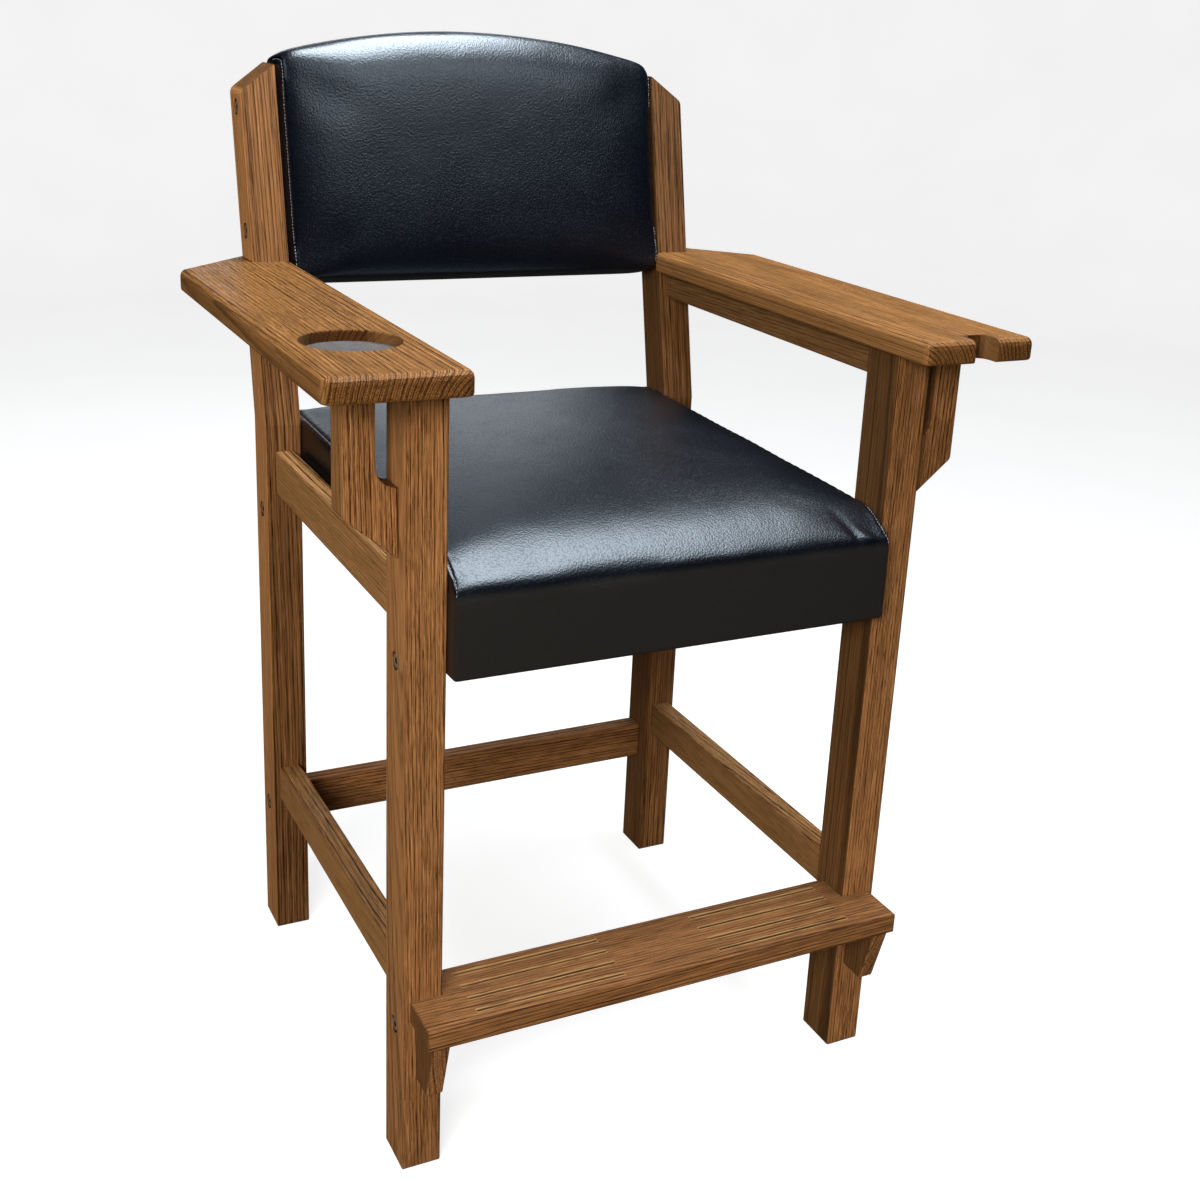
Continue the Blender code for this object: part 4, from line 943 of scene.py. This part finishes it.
def puff_up(piece, held, pressure, cap):
    """Fills a cushion's cover with a short cloth simulation; points in held stay, others move at most cap."""
    start = read_points(piece.data)
    piece.vertex_groups.new(name="held").add(np.flatnonzero(held).tolist(), 1.0, "REPLACE")
    cloth = piece.modifiers.new("puff", "CLOTH")
    cloth.settings.quality = 5
    cloth.settings.mass = 0.35
    cloth.settings.tension_stiffness = 25
    cloth.settings.compression_stiffness = 25
    cloth.settings.shear_stiffness = 12
    cloth.settings.bending_stiffness = 1.5
    cloth.settings.use_pressure = True
    cloth.settings.uniform_pressure_force = pressure
    cloth.settings.vertex_group_mass = "held"
    cloth.settings.effector_weights.gravity = 0
    cloth.collision_settings.use_collision = False
    cloth.point_cache.frame_start, cloth.point_cache.frame_end = 1, PUFF_FRAMES
    for step in range(1, PUFF_FRAMES + 1):
        bpy.context.scene.frame_set(step)
    swollen = piece.evaluated_get(bpy.context.evaluated_depsgraph_get()).to_mesh()
    moved = read_points(swollen) - start
    piece.modifiers.clear()
    piece.vertex_groups.clear()
    bpy.context.scene.frame_set(1)
    length = np.maximum(np.linalg.norm(moved, axis=1, keepdims=True), 1e-9)
    write_points(piece.data, start + moved / length * cap * np.tanh(length / cap))


def make_finer(piece):
    """Replaces the piece's mesh by one smooth subdivision of it."""
    coarse = piece.data
    modifier = piece.modifiers.new("finer", "SUBSURF")
    modifier.levels = modifier.render_levels = 1
    fine = bpy.data.meshes.new_from_object(piece.evaluated_get(bpy.context.evaluated_depsgraph_get()))
    piece.modifiers.clear()
    piece.data = fine
    bpy.data.meshes.remove(coarse)


def relax(piece, share, rounds):
    """Evens out the points by the share given for each, towards the middle of their neighbours."""
    mesh = piece.data
    ends = np.empty(len(mesh.edges) * 2, dtype=int)
    mesh.edges.foreach_get("vertices", ends)
    first, second = ends.reshape(-1, 2).T
    points = read_points(mesh)
    count = np.bincount(ends, minlength=len(points))[:, None]
    for _ in range(rounds):
        total = np.zeros_like(points)
        np.add.at(total, first, points[second])
        np.add.at(total, second, points[first])
        points += share[:, None] * (total / count - points)
    write_points(mesh, points)


def rolling(points, size, seed):
    """Smooth random heights of about -1 to 1 over the points, with hills of this size."""
    shift = Vector((seed * 3.7, seed * 1.9, seed * 5.3))
    return np.array([noise.noise(Vector(p) / size + shift) for p in points])


def crease(points, start, end, width, rise):
    """Height of a short tuck that fades along the line from start to end."""
    along = np.subtract(end, start)
    length = np.linalg.norm(along)
    along /= length
    away = points - start
    travel = away @ along
    off = np.linalg.norm(away - travel[:, None] * along, axis=1)
    fade = (1 - unit(travel / length)) * (travel > -width)
    return rise * fade * bell(off, width)


def seam_relief(seam, run):
    """Height beside a sewn seam: a narrow valley, swollen sides and puckers; run is distance along it."""
    away = np.abs(seam)
    valley = -SEAM_VALLEY_DEPTH * bell(away, SEAM_VALLEY_WIDTH)
    swell = SEAM_SWELL_HEIGHT * bell(away - SEAM_SWELL_PLACE, SEAM_SWELL_WIDTH)
    pucker = PUCKER_HEIGHT * np.sin(run * 2 * math.pi / PUCKER_PITCH) * bell(away, PUCKER_REACH)
    return valley + swell + pucker


def finish_cushion(piece, heights, vinyl, *nodes):
    """Raises the points along their normals, covers the cushion and puts it in the place of its solids."""
    mesh = piece.data
    write_points(mesh, read_points(mesh) + read_points(mesh, "normal") * heights[:, None])
    shade_smooth(mesh)
    mesh.materials.clear()
    mesh.materials.append(vinyl)
    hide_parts(*nodes)
    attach(piece, BODY)


def make_seat(vinyl):
    """The seat: crowned top rolled over the front, plain band below, hollow underneath for the dust cover."""
    width, depth = 2 * SEAT_HALF_WIDTH, SEAT_REAR - SEAT_FRONT
    height = SEAT_REAR_TOP - SEAT_BOTTOM
    radii = (SEAT_ROLL_RADIUS, SEAT_REAR_RADIUS, SEAT_LOWER_RADIUS, SEAT_LOWER_RADIUS)
    band = height - SEAT_ROLL_RADIUS
    seam_radii = ((band - 0.008, SEAT_CORNER_RADIUS), (band + 0.022, SEAT_SEAM_RADIUS))
    points, quads, seam = boxed_cushion(width, depth, height, radii, seam_radii)
    x, y, z = points.T
    x = x - SEAT_HALF_WIDTH
    across, back, up = x / SEAT_HALF_WIDTH, y / depth, z / height
    rim = SEAT_FRONT_TOP + back * (SEAT_REAR_TOP - SEAT_FRONT_TOP)
    crown = SEAT_CROWN * (1 - np.abs(across) ** 3.5) * (1 - np.abs(2 * back - 1) ** 3)
    z = SEAT_BOTTOM + z * (rim + crown - SEAT_BOTTOM) / height
    from_front = np.maximum(y, 1e-5)
    tight = np.sqrt(1 - (1 - np.minimum(from_front / SEAT_ROLL_RADIUS, 1)) ** 2)
    loose = 1 - (1 - np.minimum(from_front / SEAT_ROLL_RUN, 1)) ** 2
    z = z - np.maximum(z - SEAT_BAND_TOP, 0) * (1 - loose / tight)
    y = SEAT_FRONT + y
    in_front = unit(1 - back / 0.12)
    proud = bell(z - SEAT_BAND_TOP - 0.006, 0.009)
    inner = 1 - np.abs(across) ** 8
    y = y - SEAT_ROLL_PROUD * in_front * proud * inner
    beneath = (up < 0.01) & (np.abs(x) < SEAT_HALF_WIDTH - SEAT_HOLLOW_RIM)
    beneath &= (y > SEAT_FRONT + 0.031) & (y < SEAT_REAR - 0.008)
    z = z + SEAT_HOLLOW * beneath
    piece = piece_from("seat_upholstery", np.stack([x, y, z], axis=1), quads, seam)
    held = (seam < 0.001) | (up < 0.02) | (z < SEAT_BAND_TOP)
    puff_up(piece, held, pressure=4.0, cap=0.006)
    make_finer(piece)
    points = read_points(piece.data)
    fold = bell(points[:, 2] - SEAT_BAND_TOP - 0.004, 0.015) * (points[:, 1] < SEAT_FRONT + 0.04)
    fold *= unit((SEAT_HALF_WIDTH - np.abs(points[:, 0])) / 0.012)
    relax(piece, 0.7 * fold, rounds=60)
    top = unit((points[:, 2] - SEAT_BAND_TOP - 0.01) / 0.01)
    top *= unit((read_seam(piece.data) - 0.004) / 0.01)
    relax(piece, top * np.where(points[:, 0] < 0.10, 0.6, 0.2), rounds=40)
    points, seam = read_points(piece.data), read_seam(piece.data)
    upper = unit((points[:, 2] - SEAT_BAND_TOP) / 0.012)
    heights = upper * (0.0007 * rolling(points, 0.11, 1) + 0.0003 * rolling(points, 0.035, 2))
    wave = bell(points[:, 2] - SEAT_BAND_TOP, 0.010) * (points[:, 1] < SEAT_FRONT + 0.03)
    heights += 0.0022 * wave * rolling(points, 0.055, 6)
    heights += seam_relief(seam, points[:, 1]) * upper
    corner = np.array((SEAT_HALF_WIDTH, SEAT_FRONT, SEAT_BAND_TOP))
    for start, end, spread, rise in SEAT_TUCKS:
        heights += crease(points, corner + start, corner + end, spread, rise)
    finish_cushion(piece, heights, vinyl, "seat_cushion")
    return piece


def lean_back(points):
    """Points given in the leaning back's own frame, in the chair's frame."""
    return points @ np.array(BACK_FRAME.to_3x3()).T + np.array(BACK_FRAME.translation)


def make_back(vinyl):
    """The back: arched top rolled over, front panel sewn to side bands, narrow between the armrests."""
    width, depth, height = 2 * BACK_HALF_WIDTH, BACK_REAR - BACK_FRONT, BACK_TOP - BACK_BOTTOM
    radii = (BACK_ROLL_RADIUS, BACK_REAR_RADIUS, BACK_LOWER_RADIUS, BACK_REAR_RADIUS)
    points, quads, seam = boxed_cushion(width, depth, height, radii, ((0, BACK_SEAM_RADIUS),))
    seam = seam + BACK_SEAM_SHIFT
    x, y, z = points.T
    across, up = x / BACK_HALF_WIDTH - 1, 2 * z / height - 1
    y = BACK_FRONT + y
    behind = unit(y / BACK_NARROWING_RUN)
    behind = behind * behind * (3 - 2 * behind)
    x = across * (BACK_FRONT_HALF_WIDTH + behind * (BACK_HALF_WIDTH - BACK_FRONT_HALF_WIDTH))
    top = BACK_TOP - BACK_ARCH * (x / BACK_HALF_WIDTH) ** 2
    z = BACK_BOTTOM + z * (top - BACK_BOTTOM) / height
    in_front = unit(1 - (y - BACK_FRONT) / 0.030)
    y = y - BACK_PUFF * in_front * (1 - np.abs(across) ** 6) * (1 - np.abs(up) ** 4)
    piece = piece_from("back_upholstery", np.stack([x, y, z], axis=1), quads, seam)
    held = (seam < 0.003) | (y > 0.030)
    puff_up(piece, held, pressure=3.0, cap=0.004)
    make_finer(piece)
    relax(piece, 0.6 * unit((read_seam(piece.data) - 0.004) / 0.012), rounds=60)
    points, seam = read_points(piece.data), read_seam(piece.data)
    shown = unit((0.040 - points[:, 1]) / 0.015)
    heights = shown * (0.0004 * rolling(points, 0.15, 3) + 0.00015 * rolling(points, 0.04, 4))
    heights += seam_relief(seam, points[:, 2])
    corner = (BACK_FRONT_HALF_WIDTH - 0.003, BACK_FRONT - 0.002, BACK_BOTTOM + 0.010)
    for reach, rise in ((0.030, 0.004), (0.022, 0.018)):
        end = (BACK_FRONT_HALF_WIDTH - reach, BACK_FRONT - 0.008, BACK_BOTTOM + 0.010 + rise)
        heights += crease(points, corner, end, width=0.004, rise=-0.0014)
    write_points(piece.data, lean_back(points))
    finish_cushion(piece, heights, vinyl, "back_cushion")
    return piece


def make_rear_pad(vinyl):
    """The padded panel that closes the back behind, set inside the cushion's border."""
    half = BACK_HALF_WIDTH - REAR_PAD_BORDER
    bottom, crest = BACK_BOTTOM + REAR_PAD_BORDER, BACK_TOP - REAR_PAD_BORDER
    width, height = 2 * half, crest - bottom
    seam_radii = ((0, REAR_PAD_SEAM_RADIUS),)
    points, quads, seam = boxed_cushion(width, REAR_PAD_DEPTH, height, REAR_PAD_RADII, seam_radii)
    x, y, z = points.T
    x = x - half
    top = crest - BACK_ARCH * (x / BACK_HALF_WIDTH) ** 2
    up = z / height
    z = bottom + z * (top - bottom) / height
    y = BACK_REAR - REAR_PAD_DEPTH + y
    swell = (1 - np.abs(x / half) ** 8) * (1 - np.abs(2 * up - 1) ** 8)
    y = np.where(y > BACK_REAR - 0.007, y + REAR_PAD_PROUD * swell, y)
    piece = piece_from("back_rear_panel", np.stack([x, y, z], axis=1), quads, seam)
    held = y < BACK_REAR - 0.004
    puff_up(piece, held, pressure=3.0, cap=0.002)
    make_finer(piece)
    points = read_points(piece.data)
    heights = unit((points[:, 1] - BACK_REAR + 0.006) / 0.004) * 0.0006 * rolling(points, 0.09, 5)
    write_points(piece.data, lean_back(points))
    finish_cushion(piece, heights, vinyl, "back_rear_pad")


# Repeated pieces, made with Geometry Nodes

def make_stitch_tree():
    """Sews a row of thread stitches along the edges of a mesh."""
    inputs = [
        ("Path", "Geometry", None), ("Pitch", "Float", 0.004), ("Stitch Length", "Float", 0.003),
        ("Thread Radius", "Float", 0.0004), ("Seed", "Int", 1), ("Thread", "Material", None),
    ]
    tree, given, made = node_group("sewn_stitches", "GeometryNodeTree", inputs, [("Stitches", "Geometry")])
    line = tree.add("GeometryNodeMeshToCurve", {"Mesh": given["Path"]}).outputs[0]
    spaced = {"Curve": line, "Length": given["Pitch"]}
    places = tree.add("GeometryNodeCurveToPoints", spaced, mode="LENGTH").outputs
    bead = tree.add("GeometryNodeMeshUVSphere", {"Segments": 6, "Rings": 5, "Radius": 1.0}).outputs[0]
    thick = given["Thread Radius"]
    half = tree.times(given["Stitch Length"], 0.5)
    size = tree.add("ShaderNodeCombineXYZ", {"X": thick, "Y": thick, "Z": half}).outputs[0]
    uneven = tree.add("FunctionNodeRandomValue", {"Seed": given["Seed"]}, data_type="FLOAT_VECTOR")
    tree.feed(uneven.inputs["Min"], (0.9, 0.9, 0.85))
    tree.feed(uneven.inputs["Max"], (1.1, 1.1, 1.05))
    sewn = {
        "Points": places["Points"], "Instance": bead, "Rotation": places["Rotation"],
        "Scale": tree.scaled(size, uneven.outputs[0]),
    }
    thread = tree.add("GeometryNodeInstanceOnPoints", sewn).outputs[0]
    solid = tree.add("GeometryNodeRealizeInstances", {"Geometry": thread}).outputs[0]
    smooth = tree.add("GeometryNodeSetShadeSmooth", {"Geometry": solid}).outputs[0]
    dyed = tree.add("GeometryNodeSetMaterial", {"Geometry": smooth, "Material": given["Thread"]}).outputs[0]
    tree.feed(made["Stitches"], dyed)
    return tree.tree


def make_fastener_tree():
    """Puts a fastener on each point of a mesh, turned as the point says and a little at random."""
    inputs = [
        ("Places", "Geometry", None), ("Fastener", "Object", None), ("Loose Turn", "Float", 0.0),
        ("Seed", "Int", 1), ("Metal", "Material", None),
    ]
    tree, given, made = node_group("set_fasteners", "GeometryNodeTree", inputs, [("Fasteners", "Geometry")])
    model = tree.add("GeometryNodeObjectInfo", {"Object": given["Fastener"]}).outputs["Geometry"]
    turn = tree.add("GeometryNodeInputNamedAttribute", {"Name": "turn"}, data_type="FLOAT_VECTOR")
    aimed = tree.add("FunctionNodeEulerToRotation", {"Euler": turn.outputs["Attribute"]}).outputs[0]
    chance = tree.add("FunctionNodeRandomValue", {"Seed": given["Seed"]}, data_type="FLOAT_VECTOR")
    tree.feed(chance.inputs["Min"], (0, 0, -1))
    tree.feed(chance.inputs["Max"], (0, 0, 1))
    loose = {0: chance.outputs[0], "Scale": given["Loose Turn"]}
    about = tree.add("ShaderNodeVectorMath", loose, operation="SCALE")
    twist = tree.add("FunctionNodeEulerToRotation", {"Euler": about.outputs[0]}).outputs[0]
    both = {"Rotation": aimed, "Rotate By": twist}
    turned = tree.add("FunctionNodeRotateRotation", both, rotation_space="LOCAL")
    set_in = {"Points": given["Places"], "Instance": model, "Rotation": turned.outputs[0]}
    placed = tree.add("GeometryNodeInstanceOnPoints", set_in).outputs[0]
    solid = tree.add("GeometryNodeRealizeInstances", {"Geometry": placed}).outputs[0]
    metal = tree.add("GeometryNodeSetMaterial", {"Geometry": solid, "Material": given["Metal"]}).outputs[0]
    tree.feed(made["Fasteners"], metal)
    return tree.tree


def grow(name, mesh, group, inputs):
    """Runs a Geometry Nodes tree on a mesh and keeps the result as a plain piece."""
    base = link(bpy.data.objects.new(name + "_base", mesh))
    modifier = base.modifiers.new("grow", "NODES")
    modifier.node_group = group
    for socket in group.interface.items_tree:
        if socket.in_out == "INPUT" and socket.name in inputs:
            modifier[socket.identifier] = inputs[socket.name]
    made = bpy.data.meshes.new_from_object(base.evaluated_get(bpy.context.evaluated_depsgraph_get()))
    made.name = name
    bpy.data.objects.remove(base)
    bpy.data.meshes.remove(mesh)
    return link(bpy.data.objects.new(name, made))


def seam_line(mesh, side):
    """The points of one side seam in order round the cushion, just proud of its cover."""
    points, normals, seam = read_points(mesh), read_points(mesh, "normal"), read_seam(mesh) - 1e-6
    ends = np.empty(len(mesh.edges) * 2, dtype=int)
    mesh.edges.foreach_get("vertices", ends)
    first, second = ends.reshape(-1, 2).T
    crossing = (seam[first] * seam[second] < 0) & (points[first, 0] * side > 0)
    first, second = first[crossing], second[crossing]
    share = (seam[first] / (seam[first] - seam[second]))[:, None]
    line = points[first] + share * (points[second] - points[first])
    line += THREAD_RADIUS * (normals[first] + share * (normals[second] - normals[first]))
    away = line - (line.max(axis=0) + line.min(axis=0)) / 2
    line = line[np.argsort(np.arctan2(away[:, 2], away[:, 1]))]
    apart = np.linalg.norm(line - np.roll(line, 1, axis=0), axis=1)
    return line[apart > 0.0006]


def sew(name, piece, thread, kept):
    """Sews stitches along both side seams of a cushion, where kept says that they show."""
    points, edges = [], []
    for side in (-1, 1):
        line = seam_line(piece.data, side)
        line = line[kept(line)]
        gaps = np.linalg.norm(np.diff(line, axis=0), axis=1)
        start = len(points)
        points += line.tolist()
        edges += [(start + k, start + k + 1) for k in np.flatnonzero(gaps < 0.02).tolist()]
    path = bpy.data.meshes.new(name + "_path")
    path.from_pydata(points, edges, [])
    sizes = {"Pitch": STITCH_PITCH, "Stitch Length": STITCH_LENGTH, "Thread Radius": THREAD_RADIUS, "Seed": 3}
    stitches = grow(name, path, STITCH_TREE, {**sizes, "Thread": thread})
    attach(stitches, BODY)


def set_fasteners(name, model, places, turns, loose_turn, metal):
    """One piece of all the fasteners of a kind."""
    mesh = bpy.data.meshes.new(name + "_places")
    mesh.from_pydata(places, [], [])
    mesh.attributes.new("turn", "FLOAT_VECTOR", "POINT").data.foreach_set("vector", np.array(turns).ravel())
    fastener = link(bpy.data.objects.new(name + "_model", model))
    inputs = {"Fastener": fastener, "Loose Turn": loose_turn, "Seed": 7, "Metal": metal}
    piece = grow(name, mesh, FASTENER_TREE, inputs)
    bpy.data.objects.remove(fastener)
    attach(piece, BODY)
    return piece


def lathe(name, rings, segments):
    """A closed turned mesh along Z; each ring is a height and a radius, or a radius for each step round."""
    angles = np.arange(segments) * 2 * math.pi / segments
    loops = []
    for height, radius in rings:
        radii = np.broadcast_to(radius, segments)
        loops.append([(r * math.cos(a), r * math.sin(a), height) for r, a in zip(radii, angles)])
    mesh = skin(name, loops)
    shade_smooth(mesh)
    mesh.set_sharp_from_angle(angle=math.radians(35))
    return mesh


def bolt_model():
    """A connector bolt along Z: its flat head's face at the origin with a hexagon socket, its shank below."""
    corner = np.mod(np.arange(BOLT_SEGMENTS) * 2 * math.pi / BOLT_SEGMENTS, math.pi / 3) - math.pi / 6
    hexagon = BOLT_SOCKET_HALF_WIDTH / np.cos(corner)
    head, shank = BOLT_HEAD_RADIUS, BOLT_SHANK_RADIUS
    rings = [
        (-BOLT_SOCKET_DEPTH, hexagon), (-BOLT_SOCKET_BEVEL, hexagon), (0.0, hexagon + BOLT_SOCKET_BEVEL),
        (0.0, head * 0.74), (-0.0001, head * 0.78), (-0.0004, head * 0.96), (-0.0010, head),
        (-BOLT_HEAD_THICKNESS, head), (-BOLT_HEAD_THICKNESS, shank),
        (-BOLT_LENGTH + BOLT_TIP_BEVEL, shank), (-BOLT_LENGTH, shank - BOLT_TIP_BEVEL),
    ]
    mesh = lathe("connector_bolt", rings, BOLT_SEGMENTS)
    points = read_points(mesh)
    # Painted shade: the ring round the head's face, the socket and everything below the face are marked to be
    # darkened.
    in_painted_recess_shade = (np.hypot(points[:, 0], points[:, 1]) > head * 0.77) | (points[:, 2] < -0.0003)
    mesh.attributes.new("painted_recess_shade", "FLOAT", "POINT").data.foreach_set("value", in_painted_recess_shade.astype(float))
    return mesh


def make_bolts(bronze):
    """The connector bolts through the legs and posts, six on each side."""
    names = [name for name in NODES if "_bolt_" in name]
    places, turns = [], []
    for name in names:
        low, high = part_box(name)
        left = name.endswith("_left")
        places.append((low.x if left else high.x, (low.y + high.y) / 2, (low.z + high.z) / 2))
        turns.append((0, -math.pi / 2 if left else math.pi / 2, 0))
    bolts = set_fasteners("connector_bolts", bolt_model(), places, turns, loose_turn=math.pi, metal=bronze)
    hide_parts(*names)


def staple_model():
    """A staple's crown along X, pressed into the cloth, with its legs going up along Z."""
    half, wire, bend, leg = STAPLE_WIDTH / 2, STAPLE_WIRE, 0.0006, 0.004
    path = [(-half, leg), (-half, bend), (-half + bend, 0), (half - bend, 0), (half, bend), (half, leg)]
    corners = ((-1, -1), (1, -1), (1, 1), (-1, 1))
    rings = []
    for place, (x, z) in enumerate(path):
        before, after = path[max(place - 1, 0)], path[min(place + 1, len(path) - 1)]
        along = Vector((after[0] - before[0], 0, after[1] - before[1])).normalized()
        outward = Vector((along.z, 0, -along.x))
        rings.append([Vector((x, b * wire, z)) + outward * a * wire / 2 for a, b in corners])
    return skin("cloth_staple", rings)


# Dust cover and cup pad

def make_dust_cover(cloth, zinc):
    """The cloth stapled under the seat frame: drawn tight, hem turned in, sagging between the rails."""
    low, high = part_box("seat_dust_cover")
    columns, rows = 84, 92
    x = np.linspace(low.x, high.x, columns)
    y = np.linspace(low.y, high.y, rows)
    across, along = np.meshgrid(x, y)
    flat = np.stack([across.ravel(), along.ravel(), np.zeros(across.size)], axis=1)
    from_sides = np.minimum(flat[:, 0] - low.x, high.x - flat[:, 0])
    from_edge = np.minimum(from_sides, np.minimum(flat[:, 1] - low.y, high.y - flat[:, 1]))
    slack = unit((from_edge - 0.05) / 0.06)
    ripple = rolling(flat * (1, 0.25, 1), 0.03, 8)
    hem = unit((CLOTH_HEM - from_edge) / 0.0025)
    lower = low.z + 0.0004 + 0.00022 * ripple * slack - 0.0003 * hem
    under, over = flat.copy(), flat.copy()
    under[:, 2] = lower
    over[:, 2] = np.minimum(lower + CLOTH_THICKNESS + 0.0003 * hem, high.z)
    index = np.arange(columns * rows).reshape(rows, columns)
    quads = np.stack([index[:-1, :-1], index[:-1, 1:], index[1:, 1:], index[1:, :-1]], axis=-1).reshape(-1, 4)
    rim = np.concatenate([index[0, :], index[1:, -1], index[-1, -2::-1], index[-2:0:-1, 0]])
    after, count = np.roll(rim, -1), columns * rows
    walls = np.stack([rim, after, after + count, rim + count], axis=1)
    faces = np.concatenate([quads[:, ::-1], quads + count, walls]).tolist()
    piece = piece_from("seat_dust_cloth", np.concatenate([under, over]), faces)
    piece.data.materials.append(cloth)
    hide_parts("seat_dust_cover")
    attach(piece, BODY)
    inset = CLOTH_HEM / 2
    places, turns = [], []
    for k in range(round((high.x - low.x) / STAPLE_PITCH)):
        for edge in (low.y + inset, high.y - inset):
            places.append((low.x + (k + 0.5) * STAPLE_PITCH, edge, low.z))
            turns.append((0, 0, 0.12))
    for k in range(round((high.y - low.y) / STAPLE_PITCH)):
        for edge in (low.x + inset, high.x - inset):
            places.append((edge, low.y + (k + 0.5) * STAPLE_PITCH, low.z))
            turns.append((0, 0, math.pi / 2 - 0.1))
    staples = set_fasteners("dust_cloth_staples", staple_model(), places, turns, loose_turn=0.25, metal=zinc)


def make_cup_pad(felt):
    """The felt disc on the floor of the cup recess, with a cut edge and a slightly matted face."""
    low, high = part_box("cup_pad")
    radius, top = (high.x - low.x) / 2, high.z - low.z
    rings = [
        (0.0, radius - 0.0003), (0.0003, radius), (top - 0.0006, radius), (top - 0.0002, radius - 0.0003),
        (top, radius - 0.0010),
    ]
    rings += [(top, radius * share) for share in (0.9, 0.75, 0.6, 0.45, 0.3, 0.15, 0.03)]
    mesh = lathe("cup_felt", rings, segments=72)
    points = read_points(mesh)
    face = points[:, 2] > top - 0.0003
    points[:, 2] -= face * 0.00025 * (1 + rolling(points, 0.006, 9))
    write_points(mesh, points + np.array(((low.x + high.x) / 2, (low.y + high.y) / 2, low.z)))
    mesh.materials.append(felt)
    piece = link(bpy.data.objects.new("cup_felt", mesh))
    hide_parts("cup_pad")
    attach(piece, BODY)


make_camera()
make_lights()
floor = make_studio_floor()
STITCH_TREE = make_stitch_tree()
FASTENER_TREE = make_fastener_tree()
zinc_steel = steel_finish("zinc_plated_steel", colour(0.60, 0.60, 0.58), roughness=0.38, metallic=1.0)
finish_boards()
finish_hidden_pieces(zinc_steel)
black_vinyl = vinyl_finish("black_vinyl", gloss=0.72, roughness=0.295)
seat_vinyl = vinyl_finish("black_seat_vinyl", gloss=0.76, roughness=0.345, band_top=SEAT_BAND_TOP)
seat = make_seat(seat_vinyl)
back = make_back(black_vinyl)
make_rear_pad(black_vinyl)
flag_lights(back, floor)
grey_thread = thread_finish()
sew("seat_stitches", seat, grey_thread, lambda line: line[:, 2] > SEAT_BAND_TOP - 0.004)
sew("back_stitches", back, grey_thread, lambda line: line[:, 1] < POST_FRONT + 0.11)
make_bolts(steel_finish("bronzed_steel", colour(0.40, 0.30, 0.19), roughness=0.40, metallic=0.45))
make_dust_cover(dust_cloth_finish(), zinc_steel)
make_cup_pad(felt_finish())
